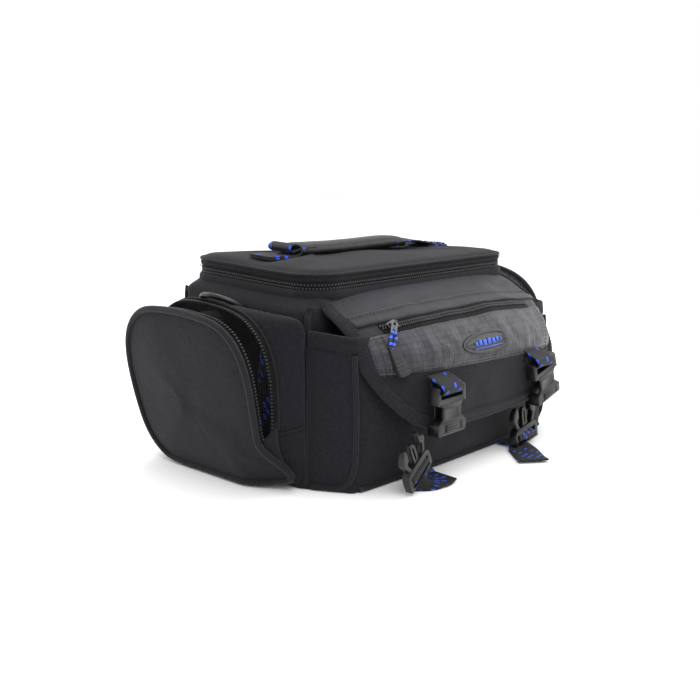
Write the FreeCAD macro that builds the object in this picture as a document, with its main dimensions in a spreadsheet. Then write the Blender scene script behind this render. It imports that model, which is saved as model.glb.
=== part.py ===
"""Soft tail bag: zipped lid with a carry handle, front pocket under a buckled flap, two end pockets.

Millimetres, +Z up. The origin is the middle of the base, on the surface the bag stands on.
-Y is the front, -X the left end. The left end pocket rests partly open, the right one is closed.
"""
import FreeCAD, Part
import os
import re
import Sketcher

SIZES = {
    "body_length": 290, "body_depth": 160, "body_height": 136, "wall": 4, "board": 3,
    "rim_length": 253, "rim_depth": 149, "rim_corner": 26, "rim_wall": 3.5,
    "band_height": 8, "zip_height": 7, "zip_gap": 0.4, "lid_height": 13, "lid_edge": 5,
    "shoulder_length": 270, "shoulder_depth": 150,
    "web_width": 25, "web_thickness": 1.6, "piping": 3.2,
    "grip_length": 140, "grip_width": 28, "grip_height": 12.5, "grip_shift": 12,
    "pocket_length": 254, "pocket_depth": 47, "pocket_foot": 32, "pocket_height": 106,
    "pocket_wall": 3,
    "flap_length": 248, "flap_thickness": 3, "flap_corner": 45, "flap_bottom": 40,
    "flap_hinge": 80, "flap_shoulder": 121, "flap_front": 139,
    "badge_length": 66, "badge_height": 17, "badge_thickness": 2.6,
    "buckle_place": 64, "buckle_width": 34, "buckle_thickness": 10, "female_height": 36,
    "male_height": 36, "male_thickness": 6, "prong_width": 5,
    "right_male_place": 63, "left_male_place": 82, "right_male_back": 140, "left_male_back": 148,
    "male_low": 2.4,
    "end_depth": 20, "end_width": 146, "end_shift": 5, "end_corner": 45, "gusset_height": 122,
    "end_height": 134, "panel_thickness": 6.5, "left_open": 15, "panel_low": 2.4,
    "ring_radius": 21, "ring_wire": 4.2, "ring_height": 127, "ring_lean": 30,
    "slider_length": 11, "slider_height": 4,
}

# The left male half lies tilted where its strap lets it: how far it leans and turns, and how it is lifted.
MALE_LEAN, MALE_YAW, MALE_SHIFT = 30, 5, FreeCAD.Vector(-1, 0, 8.4)
# The right base strap's tail bends off on the floor.
TAIL_ROOT, TAIL_ANGLE, TAIL_LENGTH, TAIL_OVERLAP = (54, -139), -42, 46, 4

doc = FreeCAD.newDocument("tail_bag")
sheet = doc.addObject("Spreadsheet::Sheet", "dimensions")
for row, (alias, size) in enumerate(SIZES.items(), start=1):
    sheet.set(f"A{row}", alias)
    sheet.set(f"B{row}", str(size))
    sheet.setAlias(f"B{row}", alias)
doc.recompute()

nodes = []


def formula(text):
    """The same sum with each size's name pointing at its cell in the sheet."""
    return re.sub(r"[a-z_]+", lambda word: "dimensions." + word.group()
                  if word.group() in SIZES else word.group(), str(text))


def number(text):
    """What a sum of sizes comes to now, for steps that need a plain number."""
    result = sheet.evalExpression(formula(text))
    return float(getattr(result, "Value", result))


def bind(piece, **sums):
    for name, text in sums.items():
        piece.setExpression(name, formula(text))


def move_to(piece, at):
    for letter, text in zip("xyz", at):
        piece.setExpression("Placement.Base." + letter, formula(text))


def box(name, at, size):
    """A block from its lowest corner."""
    block = doc.addObject("Part::Box", name)
    bind(block, Length=size[0], Width=size[1], Height=size[2])
    move_to(block, at)
    return block


def rod(name, at, radius, length, along):
    """A cylinder from the middle of its first end, along X, Y or Z."""
    cylinder = doc.addObject("Part::Cylinder", name)
    bind(cylinder, Radius=radius, Height=length)
    turn = {"X": FreeCAD.Vector(0, 1, 0), "Y": FreeCAD.Vector(-1, 0, 0), "Z": FreeCAD.Vector(0, 0, 1)}
    cylinder.Placement.Rotation = FreeCAD.Rotation(turn[along], 0 if along == "Z" else 90)
    move_to(cylinder, at)
    return cylinder


def tapered(name, foot, top, low, height):
    """A block whose four walls lean in, given its foot and top as (length, depth)."""
    wedge = doc.addObject("Part::Wedge", name)
    bind(wedge, Xmin=f"-({foot[0]}) / 2", Xmax=f"({foot[0]}) / 2", Zmin=f"-({foot[1]}) / 2",
         Zmax=f"({foot[1]}) / 2", X2min=f"-({top[0]}) / 2", X2max=f"({top[0]}) / 2",
         Z2min=f"-({top[1]}) / 2", Z2max=f"({top[1]}) / 2", Ymin=0, Ymax=height)
    wedge.Placement.Rotation = FreeCAD.Rotation(FreeCAD.Vector(1, 0, 0), 90)
    move_to(wedge, ("0", "0", low))
    return wedge


def cut(name, base, *tools):
    """The base with every tool taken out of it."""
    tool = tools[0] if len(tools) == 1 else fuse(name + "_tools", *tools)
    piece = doc.addObject("Part::Cut", name)
    piece.Base, piece.Tool = base, tool
    return piece


def fuse(name, *pieces):
    piece = doc.addObject("Part::MultiFuse", name)
    piece.Shapes = list(pieces)
    return piece


def group(name, *pieces):
    """Separate solids kept in one node."""
    piece = doc.addObject("Part::Compound", name)
    piece.Links = list(pieces)
    return piece


def rounded(name, base, radius, chosen):
    """The base with the edges that chosen(edge) picks rounded to a radius from the sheet."""
    doc.recompute()
    fillet = doc.addObject("Part::Fillet", name)
    fillet.Base = base
    size = number(radius)
    fillet.Edges = [(place, size, size) for place, edge in enumerate(base.Shape.Edges, start=1)
                    if chosen(edge)]
    return fillet


def along(axis):
    """Picks the straight edges that run along X (0), Y (1) or Z (2)."""
    def chosen(edge):
        first, last = edge.Vertexes[0].Point, edge.Vertexes[-1].Point
        spread = [abs(last[side] - first[side]) for side in range(3)]
        return spread[axis] > 0.9 * sum(spread)
    return chosen


def rounded_block(name, middle, low, size, radius, axis=2):
    """A block with four rounded corners, centred on middle (x, y) and standing on low."""
    block = box(name + "_block", (f"{middle[0]} - ({size[0]}) / 2", f"{middle[1]} - ({size[1]}) / 2", low),
                size)
    return rounded(name, block, radius, along(axis))


def loop(name, low, height, outer, wall, corner="rim_corner"):
    """A rounded ring of the rim's plan, outer as (length, depth)."""
    outside = rounded_block(name + "_outside", ("0", "0"), low, (outer[0], outer[1], height), corner)
    inside = rounded_block(name + "_inside", ("0", "0"), f"{low} - 1",
                           (f"{outer[0]} - 2 * {wall}", f"{outer[1]} - 2 * {wall}", f"{height} + 2"),
                           f"{corner} - {wall}")
    return cut(name, outside, inside)


def profile(name, plane, points, length):
    """A body padded equally both ways from a closed outline; each point is a pair of sums."""
    body = doc.addObject("PartDesign::Body", name)
    sketch = body.newObject("Sketcher::SketchObject", name + "_outline")
    origin_plane = next(part for part in body.Origin.OriginFeatures if part.Role == plane)
    sketch.AttachmentSupport = [(origin_plane, "")]
    sketch.MapMode = "FlatFace"
    corners = [FreeCAD.Vector(number(first), number(second), 0) for first, second in points]
    for place, corner in enumerate(corners):
        sketch.addGeometry(Part.LineSegment(corner, corners[(place + 1) % len(corners)]))
    for place in range(len(corners)):
        sketch.addConstraint(Sketcher.Constraint("Coincident", place, 2, (place + 1) % len(corners), 1))
    for place, corner in enumerate(corners):
        for kind, sign, text in (("DistanceX", corner.x, points[place][0]),
                                 ("DistanceY", corner.y, points[place][1])):
            ends = (-1, 1, place, 1) if sign > 0 else (place, 1, -1, 1)
            index = sketch.addConstraint(Sketcher.Constraint(kind, *ends, abs(sign)))
            sketch.setExpression(f"Constraints[{index}]", formula(text if sign > 0 else f"-({text})"))
    pad = body.newObject("PartDesign::Pad", name + "_pad")
    pad.Profile = sketch
    pad.SideType = "Symmetric"
    bind(pad, Length=length)
    return body


def tube(points, radius):
    """A round tube through straight runs with ball corners."""
    route = [FreeCAD.Vector(*point) for point in points]
    pieces = [Part.makeCylinder(radius, (last - first).Length, first, last - first)
              for first, last in zip(route, route[1:])]
    pieces += [Part.makeSphere(radius, corner) for corner in route[1:-1]]
    return pieces[0].multiFuse(pieces[1:]) if len(pieces) > 1 else pieces[0]


def turned(name, piece, axis, angle, centre):
    """A piece that was drawn straight, turned about a line through centre."""
    holder = group(name, piece)
    holder.Placement = FreeCAD.Placement(FreeCAD.Vector(0, 0, 0),
                                         FreeCAD.Rotation(FreeCAD.Vector(*axis), angle),
                                         FreeCAD.Vector(*centre))
    return holder


def solid(name, shape):
    feature = doc.addObject("Part::Feature", name)
    feature.Shape = shape
    return feature


def node(label, piece):
    piece.Label = label
    nodes.append(piece)
    return piece


# The main compartment: padded shell, lining and stiffener board.

body_form = tapered("body_form", ("body_length", "body_depth"), ("shoulder_length", "shoulder_depth"),
                    "0", "body_height")


def body_block(name, inset, low):
    """The body's tapered form pulled in by inset on each side, from low up through the top."""
    narrow = f"(body_height + 1 - ({low})) / body_height"
    rise_length = f"(body_length - shoulder_length) * {narrow}"
    rise_depth = f"(body_depth - shoulder_depth) * {narrow}"
    foot_length = f"body_length - 2 * ({inset}) - (body_length - shoulder_length) * ({low}) / body_height"
    foot_depth = f"body_depth - 2 * ({inset}) - (body_depth - shoulder_depth) * ({low}) / body_height"
    return tapered(name, (foot_length, foot_depth),
                   (f"{foot_length} - {rise_length}", f"{foot_depth} - {rise_depth}"),
                   low, f"body_height + 1 - ({low})")


def make_body():
    node("body_shell", cut("body_shell", body_form, body_block("shell_room", "wall", "wall")))
    node("base_board", box("base_board", ("-body_length / 2 + wall + 3", "-body_depth / 2 + wall + 3",
                                          "wall + 0.1"),
                           ("body_length - 2 * wall - 6", "body_depth - 2 * wall - 6", "board")))
    lining_low = "wall + board + 0.2"
    lining_out = body_block("lining_out", "wall + 0.2", lining_low)
    lining_top = box("lining_top", ("-body_length / 2", "-body_depth / 2", "body_height - 0.2"),
                     ("body_length", "body_depth", "3"))
    node("body_lining", cut("body_lining", lining_out, lining_top,
                            body_block("lining_room", "wall + 1.4", f"{lining_low} + 1.2")))
    corners = []
    for side in (-1, 1):
        for end in (-1, 1):
            foot = (side * number("body_length / 2 + 0.6"), end * number("body_depth / 2 + 0.6"), 1.8)
            top = (side * number("shoulder_length / 2 + 0.6"), end * number("shoulder_depth / 2 + 0.6"),
                   number("body_height - 1"))
            corners.append(solid("corner_cord", tube((foot, top), number("piping / 2"))))
    return node("body_piping", cut("body_piping", group("corner_cords", *corners), body_form))


# The rim: sewn band and the lower half of the lid's zip.

def make_rim():
    node("rim_band", loop("rim_band", "body_height", "band_height", ("rim_length", "rim_depth"), "rim_wall"))
    node("rim_zip_tape", loop("rim_zip_tape", "body_height + band_height", "(zip_height - zip_gap) / 2",
                              ("rim_length - 1", "rim_depth - 1"), "2.5"))
    node("lid_hinge_panel", box("lid_hinge_panel", ("-90", "rim_depth / 2 + 0.4", "body_height + 1"),
                                ("180", "1.2", "band_height + 1.5")))


# The lid, with its half of the zip, its seam piping, its lining and the sewn ends of the handle.

lid_low = "body_height + band_height + zip_height"
lid_top = f"{lid_low} + lid_height"


def make_lid():
    outside = rounded_block("lid_outside", ("0", "0"), lid_low,
                            ("rim_length", "rim_depth", "lid_height"), "rim_corner")
    crown = rounded("lid_crown", outside, "lid_edge",
                    lambda edge: min(vertex.Z for vertex in edge.Vertexes) > number(lid_top) - 0.01)
    room = rounded_block("lid_room", ("0", "0"), f"{lid_low} - 1",
                         ("rim_length - 8", "rim_depth - 8", "lid_height - 3"), "rim_corner - 4")
    node("lid_shell", cut("lid_shell", crown, room))
    node("lid_zip_tape", loop("lid_zip_tape", "body_height + band_height + (zip_height + zip_gap) / 2",
                              "(zip_height - zip_gap) / 2", ("rim_length - 1", "rim_depth - 1"), "2.5"))
    node("lid_seam_piping", loop("lid_seam_piping", f"{lid_low} + 5.4", "1.6",
                                 ("rim_length + 1.8", "rim_depth + 1.8"), "0.8", "rim_corner"))
    node("lid_lining", rounded_block("lid_lining", ("0", "0"), f"{lid_low} + 7.6",
                                     ("rim_length - 9", "rim_depth - 9", "1.2"), "rim_corner - 5"))
    for side, hand in ((-1, "left"), (1, "right")):
        low_x = "-112" if side < 0 else "86"
        node(f"handle_anchor_{hand}", box(f"handle_anchor_{hand}", (low_x, "-web_width / 2", lid_top),
                                          ("26", "web_width", "web_thickness")))


# The carry handle: a webbing strap and a wrapped grip, lying on the lid.

def make_handle():
    node("handle_webbing", box("handle_webbing", ("-85.6", "-web_width / 2", f"{lid_top} + 0.5"),
                               ("171.2", "web_width", "web_thickness")))
    node("handle_grip", rounded_block("handle_grip", ("-grip_shift", "0"), f"{lid_top} + 2.2",
                                      ("grip_length", "grip_width", "grip_height"), "grip_height * 0.45", 0))


# The front pocket under the flap.

def make_front_pocket():
    front = "-(body_depth / 2 + pocket_depth)"
    foot = "-(body_depth / 2 + pocket_foot)"
    outside = profile("front_pocket_outside", "YZ_Plane",
                      (("-60", "0.3"), (foot, "0.3"), (front, "38"), (front, "72"),
                       (f"{foot} - 1", "pocket_height"), ("-60", "pocket_height + 15")), "pocket_length")
    room = profile("front_pocket_room", "YZ_Plane",
                   (("-55", "0.3 + pocket_wall"), (f"{foot} + pocket_wall", "0.3 + pocket_wall"),
                    (f"{front} + pocket_wall", "39"), (f"{front} + pocket_wall", "71"),
                    (f"{foot} - 1 + pocket_wall", "pocket_height - 1"),
                    (f"{foot} - 1 + pocket_wall", "pocket_height + 30"), ("-55", "pocket_height + 30")),
                   "pocket_length - 2 * pocket_wall")
    shell = node("front_pocket_shell", cut("front_pocket_shell", outside, room, body_form))
    doc.recompute()
    cords = []
    for side in (-1, 1):
        edge = side * number("pocket_length / 2 + 0.4")
        route = [(edge, number(first) - 0.4, number(second)) for first, second in
                 ((foot, "3"), (front, "38"), (front, "72"), (f"{foot} - 1", "pocket_height - 2"))]
        cords.append(solid("pocket_cord", tube(route, number("piping / 2 - 0.1")).cut(shell.Shape)))
    node("front_pocket_piping", group("front_pocket_piping", *cords))


# The flap: bound sheet, zipped ripstop pocket, badge and the tabs that carry the female buckles.

def flap_sheet(name, out, thickness, length, low, corner):
    """A sheet bent over the pocket's shoulder, its outer face out beyond the flap's own."""
    hinge_z, shoulder_z, bend_z = "body_height + 3", "body_height - 15", "97"
    outer = [(f"-flap_hinge", f"{hinge_z} + ({out})"),
             (f"-flap_shoulder - 0.6 * ({out})", f"{shoulder_z} + 0.8 * ({out})"),
             (f"-flap_front - ({out})", f"{bend_z} + 0.3 * ({out})"),
             (f"-flap_front - 2 - ({out})", low)]
    inner = [(f"{first} + 0.02 + ({thickness}) * {back}", f"{second} - ({thickness}) * {down}")
             for (first, second), (back, down) in zip(outer, (("0", "1.09"), ("0.6", "0.8"), ("1", "0.3"),
                                                              ("1", "0")))]
    sheet_body = profile(name + "_sheet", "YZ_Plane", outer + inner[::-1], length)
    foot = number(low)

    def lower_corner(edge):
        return all(vertex.Z < foot + 0.05 for vertex in edge.Vertexes) and edge.Length < 20
    return rounded(name, sheet_body, corner, lower_corner)


def on_shoulder(name, piece):
    """Leans a piece, drawn flat above the flap's hinge line, down along the flap's shoulder."""
    rise = number("flap_shoulder - flap_hinge")
    angle = FreeCAD.Vector(rise, 18, 0).getAngle(FreeCAD.Vector(1, 0, 0)) * 180 / 3.141592653589793
    return turned(name, piece, (1, 0, 0), angle, (0, number("-flap_hinge"), number("body_height + 3")))


def oval(half_length, half_height, face_y, thickness):
    """An oval plate on the flap's pocket, from face_y towards the front."""
    edge = Part.Ellipse(FreeCAD.Vector(0, 0, 0), half_length, half_height).toShape()
    plate = Part.Face(Part.Wire(edge)).extrude(FreeCAD.Vector(0, 0, thickness))
    plate.Placement = FreeCAD.Placement(FreeCAD.Vector(0, face_y, 96),
                                        FreeCAD.Rotation(FreeCAD.Vector(1, 0, 0), 90))
    return plate


def make_flap():
    panel = node("flap_panel", flap_sheet("flap_panel", "0", "flap_thickness", "flap_length", "flap_bottom",
                                          "flap_corner"))
    fat = flap_sheet("binding_fat", "0.6", "flap_thickness + 1.2", "flap_length + 1.2", "flap_bottom - 0.6",
                     "flap_corner + 0.6")
    hollow = flap_sheet("binding_hollow", "5", "flap_thickness + 10", "flap_length - 14", "flap_bottom + 7",
                        "flap_corner - 7")
    node("flap_binding", cut("flap_binding", fat, hollow, panel))
    node("flap_pocket_panel", profile("flap_pocket_panel", "YZ_Plane",
                                      (("-flap_shoulder - 0.2", "body_height - 15"),
                                       ("-flap_shoulder - 1.8", "body_height - 13"),
                                       ("-flap_front - 2.8", "98"), ("-flap_front - 3.2", "85"),
                                       ("-flap_front - 0.7", "85"), ("-flap_front - 0.2", "97")), "220"))
    hinge = ("-flap_hinge", "body_height + 3")
    tape = box("flap_zip_strip", ("-97", f"{hinge[0]} - 44", f"{hinge[1]} + 0.1"), ("194", "12", "1.4"))
    node("flap_zip_tape", on_shoulder("flap_zip_tape", tape))
    face_y = number("-flap_front - 3.4")
    plate = oval(number("badge_length / 2"), number("badge_height / 2"), face_y, number("badge_thickness"))
    recess = oval(number("badge_length / 2 - 3.4"), number("badge_height / 2 - 2.4"),
                  face_y - number("badge_thickness") + 0.9, 2)
    node("badge_plate", solid("badge_plate", plate.cut(recess)))
    node("badge_mark", box("badge_mark", ("-17", "-flap_front - 3.4 - badge_thickness", "94.5"),
                           ("34", "0.8", "3")))
    for side, hand in ((-1, "left"), (1, "right")):
        place = f"{side} * buckle_place"
        node(f"buckle_tab_{hand}", box(f"buckle_tab_{hand}",
                                       (f"{place} - web_width / 2", "-flap_front - 4.8", "62"),
                                       ("web_width", "web_thickness", "23")))


def make_flap_slider():
    middle = "-88"
    hinge = ("-flap_hinge", "body_height + 3")
    block = box("flap_slider_block", (f"{middle} - slider_length / 2", f"{hinge[0]} - 42.5",
                                      f"{hinge[1]} + 1.9"), ("slider_length", "8", "slider_height"))
    node("flap_slider", on_shoulder("flap_slider", block))
    hook_y, hook_z = number("-flap_shoulder - 5"), number("body_height - 10")
    hang_y = number("-flap_front - 9.6")
    tab_line = ((-88, hook_y - 1, hook_z), (-91, hook_y - 9, hook_z - 1))
    node("flap_pull_tab", solid("flap_pull_tab", tube(tab_line, 1.3)))
    strands = [solid("pull_strand", tube(((-91.5 + shift, hook_y - 11.2, hook_z - 1.6),
                                          (-97 + shift, hang_y, hook_z - 12),
                                          (-98 + shift * 0.8, hang_y, hook_z - 19)), 0.9))
               for shift in (-1.3, 1.3)]
    node("flap_pull_cord", group("flap_pull_cord", *strands))
    node("flap_pull_grip", box("flap_pull_grip", ("-103", "-flap_front - 12.4", "84"),
                               ("10", "5.4", "22.6")))


# Side-release buckles. The female halves hang from the flap, the male halves from the base straps.

def make_female(side, hand):
    place = f"{side} * buckle_place"
    back = "-flap_front - 6 - buckle_thickness"
    low = "76 - female_height"
    block = box(f"female_block_{hand}", (f"{place} - buckle_width / 2", back, low),
                ("buckle_width", "buckle_thickness", "female_height"))
    mouth = box(f"female_mouth_{hand}", (f"{place} - 13.5", f"{back} + 2", f"{low} - 1"), ("27", "6", "24"))
    tools = [mouth, box(f"female_slot_{hand}", (f"{place} - 13", f"{back} - 1", f"{low} + 28"),
                        ("26", "buckle_thickness + 2", "4.5"))]
    for end in (-1, 1):
        tools.append(box(f"female_window_{hand}_{'b' if end > 0 else 'a'}",
                         (f"{place} + {end} * buckle_width / 2 - 4", f"{back} - 1", f"{low} + 10"),
                         ("8", "buckle_thickness + 2", "10")))
    node(f"female_buckle_{hand}", cut(f"female_buckle_{hand}", block, *tools))


def make_male(side, hand):
    """Ladder frame at the foot, a slotted centre guide and two sprung prongs above it."""
    place = "right_male_place" if side > 0 else "-left_male_place"
    back = "-right_male_back" if side > 0 else "-left_male_back"
    frame = box(f"male_frame_{hand}", (f"{place} - buckle_width / 2", back, "male_low"),
                ("buckle_width", "male_thickness", "15"))
    slots = [box(f"male_slot_{hand}_{letter}", (f"{place} - 13", f"{back} - 1", low),
                 ("26", "male_thickness + 2", "3.6")) for letter, low in (("a", "4.6"), ("b", "10.6"))]
    guide = box(f"male_guide_{hand}", (f"{place} - 3.5", f"{back} + 1", "16"),
                ("7", "male_thickness - 2", "male_height - 16"))
    prongs = [box(f"male_prong_{hand}_{'b' if end > 0 else 'a'}",
                  (f"{place} + {end} * 9.5 - prong_width / 2", f"{back} + 0.6", "16"),
                  ("prong_width", "male_thickness - 1.2", "male_height - 14")) for end in (-1, 1)]
    ladder = cut(f"male_ladder_{hand}", frame, *slots)
    male = node(f"male_buckle_{hand}", fuse(f"male_buckle_{hand}", ladder, guide, *prongs))
    if side < 0:
        foot = FreeCAD.Vector(number(place), number(f"{back} + male_thickness / 2"), number("male_low"))
        lean = FreeCAD.Rotation(FreeCAD.Vector(0, 1, 0), -MALE_LEAN)
        turn = FreeCAD.Rotation(FreeCAD.Vector(0, 0, 1), MALE_YAW) * lean
        male.Placement = FreeCAD.Placement(MALE_SHIFT, turn, foot)


def make_base_strap(side, hand):
    place = f"{side} * buckle_place"
    reach = "-143" if side > 0 else "-140"
    flat = box(f"base_strap_flat_{hand}", (f"{place} - web_width / 2", reach, "0.2"),
               ("web_width", f"-({reach}) - (body_depth / 2 + pocket_foot) - 1.2", "web_thickness"))
    if side < 0:
        node(f"base_strap_{hand}", flat)
        return
    root_x, root_y = TAIL_ROOT
    end = box(f"base_strap_end_{hand}",
              (f"{root_x} - web_width / 2", root_y + TAIL_OVERLAP - TAIL_LENGTH, "0.2"),
              ("web_width", TAIL_LENGTH, "web_thickness"))
    tail = turned(f"base_strap_tail_{hand}", end, (0, 0, 1), TAIL_ANGLE, (root_x, root_y, 0.2))
    node(f"base_strap_{hand}", fuse(f"base_strap_{hand}", flat, tail))


# The end pockets: gusset and zip on the body, and an outer panel that opens on its lower edge.

def end_ring(name, side, near, far, height, room_height, low="0.3"):
    """A rounded ring about the end pocket's axis, from near to far beyond the body's foot."""
    def block(part, grow, foot, tall):
        first = f"body_length / 2 + {near}" if side > 0 else f"-(body_length / 2 + {far})"
        wide = f"end_width - 2 * ({grow})"
        piece = box(f"{name}_{part}_block", (f"{first} - {margin[part]}", f"end_shift - ({wide}) / 2", foot),
                    (f"{far} - ({near}) + 2 * {margin[part]}", wide, tall))
        return rounded(f"{name}_{part}", piece, f"end_corner - ({grow})", along(0))
    margin = {"outside": "0", "room": "1"}
    return cut(name, block("outside", "0", low, f"{height} - {low}"),
               block("room", "3", f"{low} + 3", f"{room_height} - {low} - 3"))


def make_end_pocket(side, hand):
    ring = end_ring(f"end_gusset_ring_{hand}", side, "-14", "end_depth - 7", "gusset_height",
                    "gusset_height - 3")
    node(f"end_gusset_{hand}", cut(f"end_gusset_{hand}", ring, body_form, corner_piping))
    node(f"end_zip_fixed_{hand}", end_ring(f"end_zip_fixed_{hand}", side, "end_depth - 7", "end_depth",
                                           "end_height", "gusset_height - 3"))
    zip_half = end_ring(f"end_zip_loop_{hand}", side, "end_depth + 0.4", "end_depth + 1.5", "end_height",
                        "gusset_height - 3", "4.2")
    first = "body_length / 2 + end_depth + 1.6"
    block = box(f"end_panel_block_{hand}",
                (first if side > 0 else f"-({first} + panel_thickness)", "end_shift - end_width / 2",
                 "panel_low"), ("panel_thickness", "end_width", "end_height - panel_low"))
    form = rounded(f"end_panel_form_{hand}", block, "end_corner", along(0))
    rim = f"{first} + panel_thickness - 2"
    collar = box(f"end_piping_block_{hand}", (rim if side > 0 else f"-({rim} + 2.6)",
                                              "end_shift - end_width / 2 - 1.2", "panel_low - 0.6"),
                 ("2.6", "end_width + 2.4", "end_height + 1.8 - panel_low"))
    collar = rounded(f"end_piping_round_{hand}", collar, "end_corner + 1", along(0))
    piping = cut(f"end_piping_loop_{hand}", collar, form)
    opened = number("left_open") if side < 0 else 0
    hinge = (side * number(f"{first} + panel_thickness"), 0, 4)
    for label, piece in (("end_zip_moving", zip_half), ("end_panel", form), ("end_piping", piping)):
        node(f"{label}_{hand}", turned(f"{label}_{hand}", piece, (0, side, 0), opened, hinge))


def make_end_fittings(side, hand):
    """The zip slider and its pull on the rear edge, and the flat strap sewn on the end wall."""
    wall_x = number("body_length / 2 + end_depth")
    edge_y = number("end_shift + end_width / 2")
    node(f"end_slider_{hand}", box(f"end_slider_{hand}",
                                   (f"{side * wall_x} - 4", f"{edge_y} + 0.5", "54"),
                                   ("8", "slider_height", "slider_length")))
    node(f"end_pull_{hand}", box(f"end_pull_{hand}", (f"{side * wall_x} - 3", f"{edge_y} + 1.8", "29"),
                                 ("6", "1.8", "24.4")))
    lean = number("(body_length - shoulder_length) / 2 / body_height")
    foot_x = number("body_length / 2 + 0.3")
    strip = doc.addObject("Part::Box", f"end_strap_{hand}")
    bind(strip, Length="web_thickness", Width="web_width", Height="74")
    angle = FreeCAD.Vector(1, lean, 0).getAngle(FreeCAD.Vector(1, 0, 0)) * 180 / 3.141592653589793
    near = side * (foot_x - lean * 24) - (number("web_thickness") if side < 0 else 0)
    strip.Placement = FreeCAD.Placement(FreeCAD.Vector(near, -56, 24),
                                        FreeCAD.Rotation(FreeCAD.Vector(0, -side, 0), angle))
    node(f"end_strap_{hand}", strip)


# The D-rings for a shoulder strap, each in a webbing loop above its end pocket.

def make_ring(side, hand):
    bar_x = number("body_length / 2 - 5.5")
    middle_y = number("end_shift")
    height = number("ring_height")
    radius, wire = number("ring_radius"), number("ring_wire / 2")
    arc = doc.addObject("Part::Torus", f"ring_arc_{hand}")
    bind(arc, Radius1="ring_radius", Radius2="ring_wire / 2", Angle3="180")
    arc.Placement = FreeCAD.Placement(FreeCAD.Vector(side * bar_x, middle_y, height),
                                      FreeCAD.Rotation(FreeCAD.Vector(0, 0, 1), -90 * side))
    bar_start = (side * bar_x, middle_y - radius, height)
    bar = rod(f"ring_bar_{hand}", bar_start, "ring_wire / 2", 2 * radius, "Y")
    flat_ring = fuse(f"flat_ring_{hand}", arc, bar)
    node(f"d_ring_{hand}", turned(f"d_ring_{hand}", flat_ring, (0, -side, 0), number("ring_lean"),
                                  (side * bar_x, middle_y, height)))
    wall_x = number("shoulder_length / 2") + 0.2
    first = wall_x if side > 0 else -(bar_x + 4.2)
    loop_block = box(f"ring_loop_block_{hand}", (first, middle_y - 18, height - 4.2),
                     (bar_x + 4.2 - wall_x, 36, 8.4))
    hole = rod(f"ring_loop_hole_{hand}", (side * bar_x, middle_y - 19, height), wire + 0.35, 38, "Y")
    node(f"d_ring_webbing_{hand}", cut(f"d_ring_webbing_{hand}", loop_block, hole, body_form))


# The two sliders of the lid's zip, met at the right end, each with its pull.

def make_lid_sliders():
    face_x = number("rim_length / 2") + 1.2
    middle_z = number("body_height + band_height + zip_height / 2")
    for side, hand in ((-1, "front"), (1, "rear")):
        low_y = 1 if side > 0 else -1 - number("slider_length")
        node(f"lid_slider_{hand}", box(f"lid_slider_{hand}", (face_x, low_y, middle_z - 4),
                                       ("slider_height", "slider_length", 8)))
        node(f"lid_pull_{hand}", box(f"lid_pull_{hand}", (face_x + 4.4, low_y + 2.5, middle_z - 10.2),
                                     (1.8, 6, 13)))


corner_piping = make_body()
make_rim()
make_lid()
make_handle()
make_front_pocket()
make_flap()
make_flap_slider()
for side, hand in ((-1, "left"), (1, "right")):
    make_female(side, hand)
    make_male(side, hand)
    make_base_strap(side, hand)
    make_end_pocket(side, hand)
    make_end_fittings(side, hand)
    make_ring(side, hand)
make_lid_sliders()
doc.recompute()

for thing in doc.Objects:
    if "Invalid" in thing.State or "Error" in thing.State:
        raise RuntimeError(f"{thing.Name} did not recompute: {thing.State}")
for piece in nodes:
    if piece.Shape.isNull() or not piece.Shape.isValid() or piece.Shape.Volume <= 0:
        raise RuntimeError(f"{piece.Label} has no sound solid")

os.makedirs("parts", exist_ok=True)
for piece in nodes:
    piece.Shape.exportStep(f"parts/{piece.Label}.step")
print(len(nodes), "nodes")
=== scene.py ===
"""Tail bag: the cloth, padding, zips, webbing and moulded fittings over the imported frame."""
import math
import bpy
from mathutils import Matrix, Vector, noise


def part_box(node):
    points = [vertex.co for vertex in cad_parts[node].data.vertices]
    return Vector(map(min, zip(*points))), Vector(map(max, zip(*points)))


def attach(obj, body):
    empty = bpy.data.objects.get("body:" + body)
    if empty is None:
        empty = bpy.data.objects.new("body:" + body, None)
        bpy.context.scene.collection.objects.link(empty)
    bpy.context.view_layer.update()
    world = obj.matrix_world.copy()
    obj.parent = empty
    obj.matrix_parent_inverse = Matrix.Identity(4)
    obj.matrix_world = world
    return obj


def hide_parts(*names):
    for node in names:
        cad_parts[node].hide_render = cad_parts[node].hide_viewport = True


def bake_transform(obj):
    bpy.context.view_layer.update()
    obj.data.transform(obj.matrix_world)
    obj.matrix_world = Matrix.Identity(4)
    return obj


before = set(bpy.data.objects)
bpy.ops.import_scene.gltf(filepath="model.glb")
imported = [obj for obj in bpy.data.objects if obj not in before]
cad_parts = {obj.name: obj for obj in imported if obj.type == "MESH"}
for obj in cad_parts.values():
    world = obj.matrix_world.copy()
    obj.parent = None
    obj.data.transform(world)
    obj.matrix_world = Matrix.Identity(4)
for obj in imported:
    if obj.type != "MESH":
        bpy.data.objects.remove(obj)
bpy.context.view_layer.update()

bl_info = {
    "name": "Tail bag",
    "version": (1, 0, 0),
    "blender": (4, 5, 0),
    "location": "View3D > Sidebar > Tail bag",
    "description": "Builds a soft tail bag with its zips, flap, pockets and buckles",
    "category": "Object",
}

MM = 0.001


def low_high(node):
    """A CAD node's lowest and highest corner, in millimetres."""
    low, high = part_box(node)
    return low / MM, high / MM


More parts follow.
